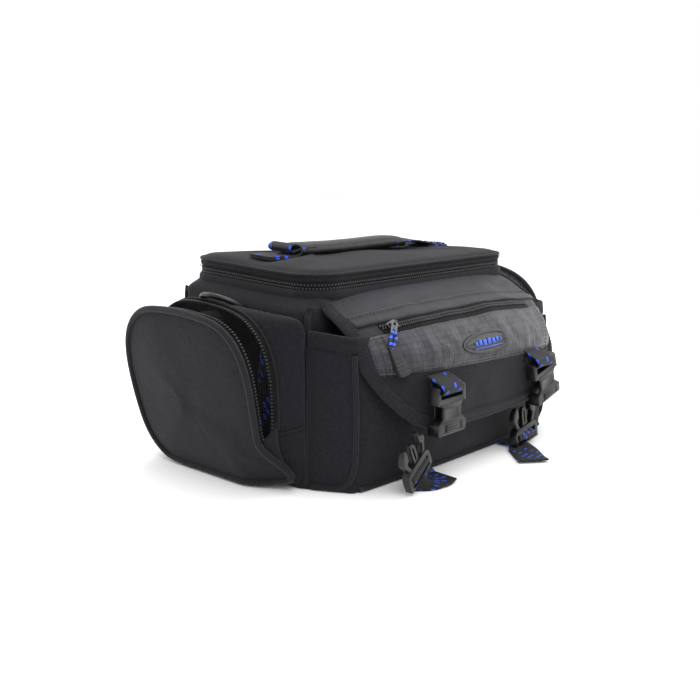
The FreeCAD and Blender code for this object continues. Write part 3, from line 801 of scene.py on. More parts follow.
def combined(piece, operation, others):
    """Cuts or melts other solids into a piece and removes them."""
    for other in others:
        apply_modifier(piece, "BOOLEAN", operation=operation, solver="EXACT", object=other)
        bpy.data.objects.remove(other)
    activate(piece)
    return piece


def cut_away(piece, *tools):
    return combined(piece, "DIFFERENCE", tools)


def grown(piece, *others):
    return combined(piece, "UNION", others)


def puffed(piece, pinned, pressure=4.0, cap=5.0, frames=20):
    """Fills a closed cloth form: a pressure simulation whose movement is capped and evened out."""
    rest = [vertex.co.copy() for vertex in piece.data.vertices]
    group = piece.vertex_groups.new(name="held")
    for vertex in piece.data.vertices:
        group.add([vertex.index], pinned(vertex.co / MM), "REPLACE")
    activate(piece)
    modifier = piece.modifiers.new("filling", "CLOTH")
    cloth = modifier.settings
    cloth.quality = 6
    cloth.mass = 0.15
    cloth.tension_stiffness = cloth.compression_stiffness = 25
    cloth.bending_stiffness = 0.4
    cloth.use_pressure = True
    cloth.uniform_pressure_force = pressure
    cloth.effector_weights.gravity = 0.0
    cloth.vertex_group_mass = "held"
    modifier.point_cache.frame_start, modifier.point_cache.frame_end = 1, frames
    for frame_number in range(1, frames + 1):
        bpy.context.scene.frame_set(frame_number)
    bpy.ops.object.modifier_apply(modifier=modifier.name)
    bpy.context.scene.frame_set(1)
    moves = [vertex.co - place for vertex, place in zip(piece.data.vertices, rest)]
    moves = [move.normalized() * min(move.length, cap * MM) for move in moves]
    for _ in range(10):
        sums = [move.copy() for move in moves]
        counts = [1] * len(moves)
        for edge in piece.data.edges:
            one, other = edge.vertices
            sums[one] += moves[other]
            sums[other] += moves[one]
            counts[one] += 1
            counts[other] += 1
        moves = [total / count for total, count in zip(sums, counts)]
    for vertex, place, move in zip(piece.data.vertices, rest, moves):
        vertex.co = place + move
    piece.vertex_groups.clear()
    return piece


# ---------------------------------------------------------------- the bag's own shapes

def body_plan(height, inset=0.0):
    """The bag's outline at a height: length, depth and corner radius, drawn in by inset."""
    part = (height - BODY_LOW.z) / (BODY_HIGH.z - BODY_LOW.z)
    length = mix(BODY_HIGH.x - BODY_LOW.x, 272, part) - 2.5
    depth = mix(BODY_HIGH.y - BODY_LOW.y, 150, part) - 2.0
    radius = 8.0
    shoulder = smooth(height, 129, 141)
    length = mix(length, RIM_LENGTH - 1, shoulder)
    depth = mix(depth, RIM_DEPTH - 1, shoulder)
    radius = mix(radius, RIM_RADIUS, shoulder)
    return length - 2 * inset, depth - 2 * inset, max(2.0, radius - inset)


def body_rows(levels, inset=0.0, crease=0.0):
    rows = []
    for height in levels:
        length, depth, radius = body_plan(height, inset)
        row = []
        for x, y in round_plan(length, depth, radius):
            away = Vector((x / length, y / depth, 0))
            slack = crease * smooth(height, 2, 30) * (1 - smooth(height, 118, 138))
            bump = slack * (ripple(x, y, height, 38, 3.1) + 0.5 * ripple(x, y, height, 15, 8.2))
            belly = 2.0 * math.sin(math.pi * min(1, height / 130)) * min(
                1, 4 * max(0.0, 0.5 - abs(x / length)) + 0.2) if abs(away.y) > abs(away.x) else 0.6
            out = Vector((0, math.copysign(1, y), 0)) if abs(away.y) > abs(away.x) else Vector(
                (math.copysign(1, x), 0, 0))
            row.append(tuple(Vector((x, y, height)) + out * (bump + (belly if crease else 0.0))))
        rows.append(row)
    return rows


BODY_LEVELS = [0.5, 1.5, 4] + [8 + 8 * step for step in range(15)] + [124, 128, 131, 133, 135, 137, 139,
                                                                      141]


class TAILBAG_OT_body(bpy.types.Operator):
    """Walls, bottom and lining of the main compartment."""
    bl_idname = "tailbag.body"
    bl_label = "Body"

    def execute(self, context):
        walls = grid_piece("body_cloth", body_rows(BODY_LEVELS, 0.4, size_mm("wrinkle")),
                           finishes["cloth"],
                           around=True, cap_first=True)
        thicken(walls, 1.4)
        settle(walls, "bag", "body_fabric", "body_shell")
        levels = [7.6, 9, 12] + [20 + 12 * step for step in range(9)] + [126, 131, 135]
        rows = [[(x * (1 if step else 0.985), y * (1 if step else 0.985), z) for x, y, z in row]
                for step, row in enumerate(body_rows(levels, 4.4))]
        inner = grid_piece("body_lining_cloth", rows, finishes["lining"], around=True, flip=True,
                           cap_first=True)
        thicken(inner, 0.6)
        settle(inner, "bag", "lining_fabric", "body_lining")
        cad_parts["base_board"].data.materials.clear()
        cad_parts["base_board"].data.materials.append(finishes["board"])
        return {"FINISHED"}


def corner_line(side_x, side_y, low=3.0, high=133.0, steps=24, out=1.6):
    """The body's vertical corner seam."""
    line = []
    for step in range(steps + 1):
        height = mix(low, high, step / steps)
        length, depth, radius = body_plan(height)
        reach = radius * (1 - math.sqrt(0.5)) - out
        line.append((side_x * (length / 2 - reach), side_y * (depth / 2 - reach), height))
    return line


class TAILBAG_OT_piping(bpy.types.Operator):
    """Covered cord along the body's corners and foot."""
    bl_idname = "tailbag.piping"
    bl_label = "Body piping"

    def execute(self, context):
        radius = size_mm("piping")
        cords = []
        for side_x in (-1, 1):
            for side_y in (-1, 1):
                cords.append(tube_piece("corner_cord", corner_line(side_x, side_y), radius,
                                        finishes["piping"], up=(side_x, side_y, 0)))
        length, depth, corner = body_plan(3.0)
        foot = [(x, y, 2.2) for x, y in round_plan(length + 1.2, depth + 1.2, corner + 1)]
        cords.append(tube_piece("foot_cord", foot, radius - 0.1, finishes["piping"], closed=True))
        settle(joined("body_piping_cord", cords), "bag", "piping_fabric", "body_piping")
        return {"FINISHED"}


def rim_line(height, inset=0.0, fine=False):
    steps = ((96, 56), 26) if fine else ((48, 28), 14)
    return [(x, y, height) for x, y in
            round_plan(RIM_LENGTH - 2 * inset, RIM_DEPTH - 2 * inset, RIM_RADIUS - inset, *steps)]


def open_rim(line, hinge=88.0):
    """The rim's line without its hinge stretch at the rear."""
    start = next(place for place, (x, y, _) in enumerate(line) if y > 0 and x < -hinge)
    end = max(place for place, (x, y, _) in enumerate(line) if y > 0 and x > hinge)
    return line[start:end + 1]


def outwards(line):
    """For each point of a flat anticlockwise line, the way out of it."""
    return [ahead.cross(UP).normalized() for ahead, _, _ in frames_along(line)]


class TAILBAG_OT_rim(bpy.types.Operator):
    """The band round the mouth and both halves of the lid's zip."""
    bl_idname = "tailbag.rim"
    bl_label = "Rim and zip"

    def execute(self, context):
        profile = ((135.6, 1.6), (136.0, 0.2), (137.0, -0.6), (140.0, -0.9), (142.6, -0.7), (143.8, 0.1),
                   (144.1, 1.4))
        band = grid_piece("rim_band_cloth", [rim_line(z, inset) for z, inset in profile],
                          finishes["cloth"],
                          around=True)
        thicken(band, 1.1)
        settle(band, "bag", "body_fabric", "rim_band")
        pitch = size_mm("tooth_pitch")
        for name, body, levels, row_z, lean, shift, node in (
                ("rim_zip", "bag", (143.4, 145.6, 146.6, 147.2), 146.5, -1.0, 0.0, "rim_zip_tape"),
                ("lid_zip", "lid", (147.8, 148.4, 149.4, 151.6), 148.5, 1.0, pitch / 2, "lid_zip_tape")):
            tape = grid_piece(name + "_tape", [rim_line(z, 1.4) for z in levels], finishes["tape"],
                              around=True)
            thicken(tape, 0.8)
            settle(tape, body, "zip_tape", node)
            line = open_rim(rim_line(row_z, 1.3, True))
            teeth = tooth_row(name + "_teeth", line, outwards(line), finishes["coil"], pitch, 1.5, shift,
                              lean)
            settle(teeth, body, "zip_tape")
        hinge = [[(x, 75.6 - 0.9 * abs(math.sin(z * 0.9)) * (144 < z < 151), z) for x in range(-90, 91,
                                                                                               6)]
                 for z in (138, 141, 143.5, 145, 146.2, 147.3, 148.4, 149.6, 151, 153, 155.6)]
        cloth = grid_piece("lid_hinge_cloth", hinge, finishes["cloth"])
        thicken(cloth, 1.0, 1.0)
        ease_corner(cloth)
        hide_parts("lid_hinge_panel")
        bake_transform(cloth)
        return {"FINISHED"}


def lid_height(x, y, crown):
    """The lid's top: round shouldered and crowned, fullest towards its right rear."""
    half_x, half_y = RIM_LENGTH / 2, RIM_DEPTH / 2
    edge = min(half_x - abs(x), half_y - abs(y))
    corner_x, corner_y = abs(x) - (half_x - RIM_RADIUS), abs(y) - (half_y - RIM_RADIUS)
    if corner_x > 0 and corner_y > 0:
        edge = RIM_RADIUS - math.hypot(corner_x, corner_y)
    part = min(1.0, max(0.0, edge) / 38)
    shoulder = 4.2 * (1 - (1 - min(1.0, max(0.0, edge) / 9)) ** 2.6)
    rise = shoulder + (crown - 4.2) * (1 - (1 - part) ** 2)
    puff = mix(-1.4, 6.6, smooth(x, 5, 85)) * smooth(y, 0, 50) * part
    pressed = 2.6 * math.exp(-((abs(x) - 96) / 26) ** 2 - (y / 17) ** 2)
    return 157.0 + rise + puff - pressed - 0.012 * x * part + 0.5 * ripple(x, y, 0, 42, 5.0) * part


class TAILBAG_OT_lid(bpy.types.Operator):
    """The padded lid, its seam piping and its lining."""
    bl_idname = "tailbag.lid"
    bl_label = "Lid"

    def execute(self, context):
        crown = size_mm("lid_crown")
        rows = [rim_line(151.4, 6), rim_line(151.0, 1.5), rim_line(151.6, 0.1), rim_line(153.5, -0.5),
                rim_line(155.6, 0.2), rim_line(156.6, 0.5)]
        for inset in (0.6, 1.1, 1.8, 2.8, 4.5, 7, 10, 14, 19, 25, 32, 40, 49, 58, 66, 71):
            length, depth = RIM_LENGTH - 2 * inset, RIM_DEPTH - 2 * inset
            rows.append([(x, y, lid_height(x, y, crown)) for x, y in
                         round_plan(length, depth, max(3.0, RIM_RADIUS - inset * 0.75), (48, 28), 14)])
        cushion = grid_piece("lid_cushion", rows, finishes["cloth"], around=True, cap_first=True,
                             cap_last=True)
        flat_cloth(cushion, lambda face: face.center.z > 156.9 * MM, 0, 1)
        puffed(cushion, lambda place: 1.0 if place.z < 157.6 else 0.15, cap=2.5, frames=14)
        settle(cushion, "lid", "body_fabric", "lid_shell")
        seam = tube_piece("lid_seam_cord", rim_line(156.4, 0.2, True), 1.2, finishes["piping"],
                          closed=True)
        settle(seam, "lid", "piping_fabric", "lid_seam_piping")
        under = grid_piece("lid_lining_cloth",
                           [rim_line(150.9, 1.8), rim_line(150.7, 6), rim_line(150.9, 20),
                                                rim_line(151.0, 45), rim_line(151.0, 70)],
                           finishes["lining"], around=True, flip=False, cap_last=True)
        look_along(under, -UP)
        thicken(under, 0.5)
        settle(under, "lid", "lining_fabric", "lid_lining")
        line = rim_line(154.6, -0.75, True)
        stitching("lid_stitches", [(line, outwards(line))], finishes["thread"], "lid")
        return {"FINISHED"}


# ---------------------------------------------------------------- handle

def web_sides(line):
    return [Vector((0, 1, 0))] * len(line)


class TAILBAG_OT_handle(bpy.types.Operator):
    """The carry handle: sewn anchors, flecked webbing and a padded, wrapped grip."""
    bl_idname = "tailbag.handle"
    bl_label = "Carry handle"

    def execute(self, context):
        wide = size_mm("webbing")
        for side, hand in ((-1, "left"), (1, "right")):
            level = lid_height(side * 99, 0, size_mm("lid_crown"))
            patch = evened([(side * 113, 0, level + 0.7), (side * 99, 0, level + 1.3),
                            (side * 85, 0, level + 1.4)], 8)
            anchor = ribbon_piece(f"handle_anchor_patch_{hand}", patch, web_sides(patch), wide + 0.6,
                                  1.5,
                                  finishes["webbing"])
            settle(anchor, "lid", "webbing", f"handle_anchor_{hand}")
            end = -62 if side < 0 else 40
            if side < 0:
                path = [(-113, 0, level + 2.3), (-101, 0, level + 2.6), (-92, 0, level + 1.9),
                        (-83, 0, level + 2.2),
                        (-78.5, 0, level + 6.0), (-82, 0, level + 9.8), (-88, 0, level + 11.2),
                        (-93, 0, level + 8.4),
                        (-90, 0, level + 5.4), (-84, 0, level + 6.6), (-76, 0, level + 7.6),
                        (end, 0, level + 7.6)]
            else:
                path = [(110, 0, level + 2.3), (98, 0, level + 2.8), (84, 0, level + 4.6),
                        (70, 0, level + 7.2),
                        (56, 0, level + 7.8), (end, 0, level + 7.6)]
            path = evened(path, 60 if side < 0 else 30)
            strap = ribbon_piece(f"handle_strap_{hand}", path, web_sides(path), wide, 1.5,
                                 finishes["webbing"])
            ease_corner(strap)
            if side < 0:
                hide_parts("handle_webbing")
            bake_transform(strap)
            near, far, edge = side * 89, side * 108, 9.5
            line = [(x, y, level + 3.55) for x, y in (
                (near, -edge), (far, -edge), (far, edge), (near, edge),
                (near, -edge), (far, edge), (near, edge), (far, -edge))]
            stitching(f"anchor_stitches_{hand}", [(line, [UP] * len(line))], finishes["thread"], "lid")
        self.grip()
        return {"FINISHED"}

    def grip(self):
        """A vinyl wrap folded round foam, its two long edges meeting underneath, open at its left end."""
        stations = [(-79, -0.6, 0.9), (-75, -0.2, 1.0), (-64, -0.3, 1.0), (-42, -0.4, 0.98),
                    (-15, -0.1, 0.97),
                    (15, 0.5, 0.97), (38, 0.7, 0.93), (50, 0.0, 0.82), (56, -1.6, 0.66)]
        rows = []
        for place in range(34):
            x, lift, share = through(stations, place / 33)
            row = []
            for step in range(28):
                angle = 2 * math.pi * step / 28 - math.pi / 2
                across, high = math.cos(angle), math.sin(angle)
                y = math.copysign(abs(across) ** 0.62, across) * 12.8 * share
                z = math.copysign(abs(high) ** 0.8, high) * 5.3 * share
                z -= 0.8 * (abs(y) / 12.8) ** 2
                soft = 0.35 * ripple(x, y, z, 24, 7.0)
                row.append((x, y, 167.8 + lift + z + soft))
            rows.append(row)
        grip = grid_piece("handle_grip_wrap", rows, finishes["grip"], around=True, flip=True,
                          cap_first=True, cap_last=True)
        puffed(grip, lambda place: 1.0 if place.x < -72 or place.x > 48 else 0.0, cap=1.2, frames=12)
        settle(grip, "handle", "grip_wrap", "handle_grip")
        curls = []
        spiral = []
        for step in range(30):
            angle = math.radians(mix(-60, 420, step / 29))
            reach = mix(4.4, 1.8, step / 29)
            spiral.append((reach * math.cos(angle) * 1.35, reach * math.sin(angle)))
        for way in (1, -1):
            rows = [[(x, way * (6.4 + a), 167.4 + b) for a, b in spiral]
                    for x in (-80.6, -79.8, -78.0, -72.0)]
            curl = grid_piece("curl", rows, finishes["grip"], flip=way < 0)
            thicken(curl, 1.3, 0.0)
            curls.append(curl)
        curl = joined("handle_grip_curl", curls)
        settle(curl, "handle", "grip_wrap")
        welt = [(x, -13.1, 166.4 + 0.4 * math.sin(x / 11)) for x in range(-73, 46, 4)]
        line = [tuple(Vector(point) + Vector((0, 0.1, 0))) for point in welt]
        stitching("grip_stitches", [(line, [(0, -1, 0.1)] * len(line))], finishes["thread"], "handle")


# ---------------------------------------------------------------- front pocket

def pocket_path(part, height):
    """Round the front pocket from the body's left corner to its right corner, part from 0 to 1."""
    foot = -111.5
    belly = math.sin(math.pi * min(1.0, max(0.0, (height + 6) / 124))) ** 0.9
    corner = Vector((POCKET_CORNER_X - 1.5 * smooth(height, 90, 120), foot - 3.5 * belly, height))
    wall = Vector((142.0 - 5.0 * height / 117, -78.4 + 1.5 * height / 117, height))
    side = -1 if part < 0.5 else 1
    near = part if part < 0.5 else 1 - part
    if near < 0.12:
        run = near / 0.12
        point = wall.lerp(corner, run)
        point += Vector((0.8, -0.5, 0)) * math.sin(math.pi * run) * 2.2 * math.sin(math.pi * min(1,
                                                                                                 height / 110))
    else:
        run = (near - 0.12) / 0.38
        x = mix(corner.x, 0.0, run)
        bulge = 12.5 * belly * (1 - (abs(x) / POCKET_CORNER_X) ** 2.6)
        point = Vector((x, corner.y - bulge, height))
        near_corner = smooth(run, 0.0, 0.06)
        point.y += 1.4 * (1 - near_corner)
    return Vector((side * point.x, point.y, point.z))


def pocket_top(part):
    near = min(part, 1 - part)
    return mix(117.5, 115.0, smooth(near, 0.0, 0.12)) - 9.0 * smooth(near, 0.13, 0.3)


class TAILBAG_OT_front_pocket(bpy.types.Operator):
    """The front pocket's gussets and face, its hem and its corner piping."""
    bl_idname = "tailbag.front_pocket"
    bl_label = "Front pocket"

    def execute(self, context):
        columns = [step / 12 * 0.12 for step in range(12)] + [
            0.12 + step / 60 * 0.76 for step in range(60)] + [0.88 + step / 12 * 0.12 for step in range(13)]
        rows = []
        for row in range(31):
            down = row / 30
            line = []
            for part in columns:
                height = mix(pocket_top(part), 0.5, down)
                point = pocket_path(part, height)
                slack = size_mm("wrinkle") * 0.8 * smooth(height, 0, 20) * (1 - smooth(height, 96, 112))
                point.y += slack * ripple(point.x, height, 0, 34, 2.0) + 0.5 * slack * ripple(
                    point.x, height, 4, 13, 9.0)
                line.append(tuple(point))
            rows.append(line)
        face = grid_piece("front_pocket_cloth", rows, finishes["cloth"])
        thicken(face, 1.6)
        under = [[tuple(pocket_path(part, 0.5).lerp(Vector((pocket_path(part, 0.5).x, -78, 0.5)), pull))
                  for part in columns] for pull in (0, 0.33, 0.66, 1)]
        floor = grid_piece("pocket_floor", under, finishes["cloth"])
        thicken(floor, 0.8, 1.0)
        pocket = joined("front_pocket_cloth", [face, floor])
        settle(pocket, "bag", "body_fabric", "front_pocket_shell")
        hem = [[pocket_path(part, pocket_top(part) - drop) for drop in (10.5, 7, 3.5,
                                                                        0)] for part in columns]
        away = [self.away(part) for part in columns]
        outer = [[tuple(hem[c][r] + away[c] * (0.55 if r else 0.15)) for c in range(len(columns))] for r in range(4)]
        inner = [[tuple(hem[c][r] - away[c] * 1.9) for c in range(len(columns))] for r in (3, 1)]
        top = [[tuple(hem[c][3] + Vector((0, 0, 0.7)) - away[c] * 0.6) for c in range(len(columns))]]
        fold = grid_piece("pocket_hem", outer + top + inner, finishes["cloth"], flip=True)
        thicken(fold, 0.5, 1.0)
        settle(fold, "bag", "body_fabric")
        runs = []
        for drop in (8.6, 10.4):
            line = [tuple(pocket_path(part, pocket_top(part) - drop) + out * 0.75)
                    for part, out in zip(columns, away)]
            runs.append((line, away))
        stitching("pocket_hem_stitches", runs, finishes["thread"], "bag")
        self.piping()
        return {"FINISHED"}

    def away(self, part):
        here = pocket_path(part, 60)
        before, after = pocket_path(max(0, part - 0.01), 60), pocket_path(min(1, part + 0.01), 60)
        return (after - before).normalized().cross(Vector((0, 0, 1))).normalized()

    def piping(self):
        radius = size_mm("piping")
        cords = []
        for side in (0.12, 0.88):
            line = []
            for step in range(22):
                height = mix(pocket_top(side) - 12, 22, step / 21)
                point = pocket_path(side, height)
                line.append(tuple(point + Vector((math.copysign(0.5, point.x), -0.6, 0))))
            sign = -1 if side < 0.5 else 1
            line += [(sign * 127.2, -111.6, 15), (sign * 128.2, -108.6, 8.5), (sign * 130.2, -104, 4.6),
                     (sign * 133, -98.5, 3.0), (sign * 137.5, -89, 2.6), (sign * 141, -82, 2.6)]
            cords.append(tube_piece("pocket_cord", line, radius - 0.1, finishes["piping"],
                                    up=(sign, -1, 0)))
        foot = [tuple(pocket_path(part / 60, 2.4) + Vector((0, -0.7, 0))) for part in range(8, 53)]
        cords.append(tube_piece("pocket_foot_cord", foot, radius - 0.3, finishes["piping"]))
        settle(joined("front_pocket_cord", cords), "bag", "piping_fabric", "front_pocket_piping")


# ---------------------------------------------------------------- flap

FLAP_HALF = 123.0
FLAP_ROWS = 52
FLAP_MIDDLE = [(-74.6, 141.2), (-80, 139.6), (-92, 134.6), (-107, 128.2), (-121, 121.4), (-132.5, 109),
               (-138.6, 96), (-140.6, 74), (-140.4, 56), (-139.4, 39)]
FLAP_SIDE = [(-66, 139.6), (-72, 135.2), (-85, 127.2), (-99, 117.6), (-107.5, 110), (-113.5, 98),
             (-119, 84), (-124, 72), (-129, 54), (-131, 39)]
FLAP_FOOT = [(0, 39.6), (40, 40.2), (60, 41.2), (74, 44.2), (88, 50), (100, 58.6), (110, 68), (118, 79),
             (123, 92)]


def flap_profile(x, part):
    """The flap's middle surface: x across, part from 0 at its hinge to 1 at the lowest it can reach."""
    middle, edge = through(FLAP_MIDDLE, part), through(FLAP_SIDE, part)
    share = abs(x / FLAP_HALF) ** 3.6
    return Vector((x * (1 - 0.03 * (1 - smooth(part, 0, 0.2))), mix(middle[0], edge[0], share),
                   mix(middle[1], edge[1], share)))


def flap_foot(x):
    for (x0, z0), (x1, z1) in zip(FLAP_FOOT, FLAP_FOOT[1:]):
        if x0 <= abs(x) <= x1:
            return mix(z0, z1, smooth((abs(x) - x0) / (x1 - x0)) * 0.25 + 0.75 * (abs(x) - x0) / (x1 - x0))
    return FLAP_FOOT[-1][1]


def part_at(x, height):
    """How far down the flap a height is reached at x."""
    low, high = 0.0, 1.0
    for _ in range(24):
        part = (low + high) / 2
        if flap_profile(x, part).z > height:
            low = part
        else:
            high = part
    return (low + high) / 2


def flap_normal(x, part):
    across = flap_profile(min(FLAP_HALF, x + 1), part) - flap_profile(max(-FLAP_HALF, x - 1), part)
    down = flap_profile(x, min(1, part + 0.01)) - flap_profile(x, max(0, part - 0.01))
    return down.cross(across).normalized()


def flap_point(x, part, out=0.0, crease=1.0):
    """A point on the flap, creased, and lifted out of it."""
    point, normal = flap_profile(x, part), flap_normal(x, part)
    limp = smooth(part, 0.04, 0.16) * (1 - 0.55 * smooth(part, 0.55, 0.8)) * crease
    folds = 1.7 * ripple(x, part * 150, 0, 30, 1.3) + 0.8 * ripple(x * 0.6, part * 150, 0, 13, 4.4)
    return point + normal * (out + limp * folds)


FLAP_X = [-FLAP_HALF] + [-122, -120, -117] + [-113 + 226 * step / 56 for step in range(57)] + [117, 120,
                                                                                               122] + [
    FLAP_HALF]


def flap_band(low, high, out, steps, x_values, crease=1.0):
    """Rows across the flap between two heights or parts, each given as a function of x."""
    rows = []
    for step in range(steps + 1):
        rows.append([tuple(flap_point(x, mix(low(x), high(x), step / steps), out(x, step / steps),
                                      crease))
                     for x in x_values])
    return rows


def border_line():
    """The flap's open edge from its left hinge end down, along and up again: points, ways in, normals."""
    line = []
    for step in range(26):
        part = mix(0.03, part_at(FLAP_HALF, flap_foot(FLAP_HALF)), step / 25)
        line.append((-FLAP_HALF, part))
    for x in [value for value in FLAP_X if -FLAP_HALF < value < FLAP_HALF]:
        line.append((x, part_at(x, flap_foot(x))))
    for step in range(26):
        part = mix(part_at(FLAP_HALF, flap_foot(FLAP_HALF)), 0.03, step / 25)
        line.append((FLAP_HALF, part))
    points = [flap_point(x, part) for x, part in line]
    normals = [flap_normal(x, part) for x, part in line]
    inward = []
    for place, normal in enumerate(normals):
        before, after = points[max(0, place - 2)], points[min(len(points) - 1, place + 2)]
        ahead = (after - before).normalized()
        inward.append(normal.cross(ahead).normalized())
    return points, inward, normals


def blend_flap(piece):
    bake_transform(piece)


class TAILBAG_OT_flap(bpy.types.Operator):
    """The flap's cloth with its binding and stitching."""
    bl_idname = "tailbag.flap"
    bl_label = "Flap"

    def execute(self, context):
        foot = {x: part_at(x, flap_foot(x)) for x in FLAP_X}
        rows = flap_band(lambda x: 0.0, lambda x: foot[x], lambda x, t: 0.0, FLAP_ROWS, FLAP_X)
        cloth = grid_piece("flap_cloth", rows, finishes["nylon"])
        look_along(cloth, FRONT)
        cloth.data.materials.append(finishes["cloth"])
        seam = {x: part_at(x, ripstop_foot(x)) for x in FLAP_X}
        for index, polygon in enumerate(cloth.data.polygons):
            x = FLAP_X[index % (len(FLAP_X) - 1)]
            part = foot[x] * (index // (len(FLAP_X) - 1)) / FLAP_ROWS
            polygon.material_index = 1 if part > seam[x] - 0.02 else 0
        thicken(cloth, 1.5, 0.0)
        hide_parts("flap_panel")
        blend_flap(cloth)
        self.binding()
        return {"FINISHED"}

    def binding(self):
        points, inward, normals = border_line()
        section = ((-1.1, 0.0), (-0.5, 1.2), (1.0, 1.7), (4.5, 1.6), (8.4, 1.5), (8.7, 1.1), (8.7, -1.1),
                   (8.4, -1.5), (4.5, -1.6), (1.0, -1.7), (-0.5, -1.2))
        rows = [[tuple(point + way * a + normal * b) for a, b in section]
                for point, way, normal in zip(points, inward, normals)]
        tape = grid_piece("flap_binding_tape", rows, finishes["binding"], around=True, cap_first=True,
                          cap_last=True)
        merge_points(tape)
        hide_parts("flap_binding")
        blend_flap(tape)
        run = [tuple(point + way * 7.0 + normal * 1.65) for point, way,
               normal in zip(points, inward, normals)]
        outer = [tuple(point + way * 1.8 + normal * 1.85) for point, way,
                 normal in zip(points, inward, normals)]
        thread = sewn("flap_stitches", [(run, normals), (outer, normals)], finishes["thread"])
        blend_flap(thread)


def ripstop_foot(x):
    """Height of the seam under the ripstop, a little lower to the right."""
    return mix(88.5, 80.5, (x + 112) / 224)


def zip_height(x):
    """Height of the flap zip's line: level in the middle, dipping at its ends."""
    return 121.6 - 3.0 * (abs(x + 8) / 90) ** 3


def flap_matrix(x, height, out):
    """Where a hard piece sits on the flap: its own X across, -Y out of the cloth and Z up it."""
    part = part_at(x, height)
    normal = flap_normal(x, part)
    across = Vector((1, 0, 0)) - normal * normal.x
    across.normalize()
    up = across.cross(-normal).normalized()
    place = flap_point(x, part, out)
    turn = Matrix((across, -normal, up)).transposed().to_4x4()
    return Matrix.Translation(place * MM) @ turn


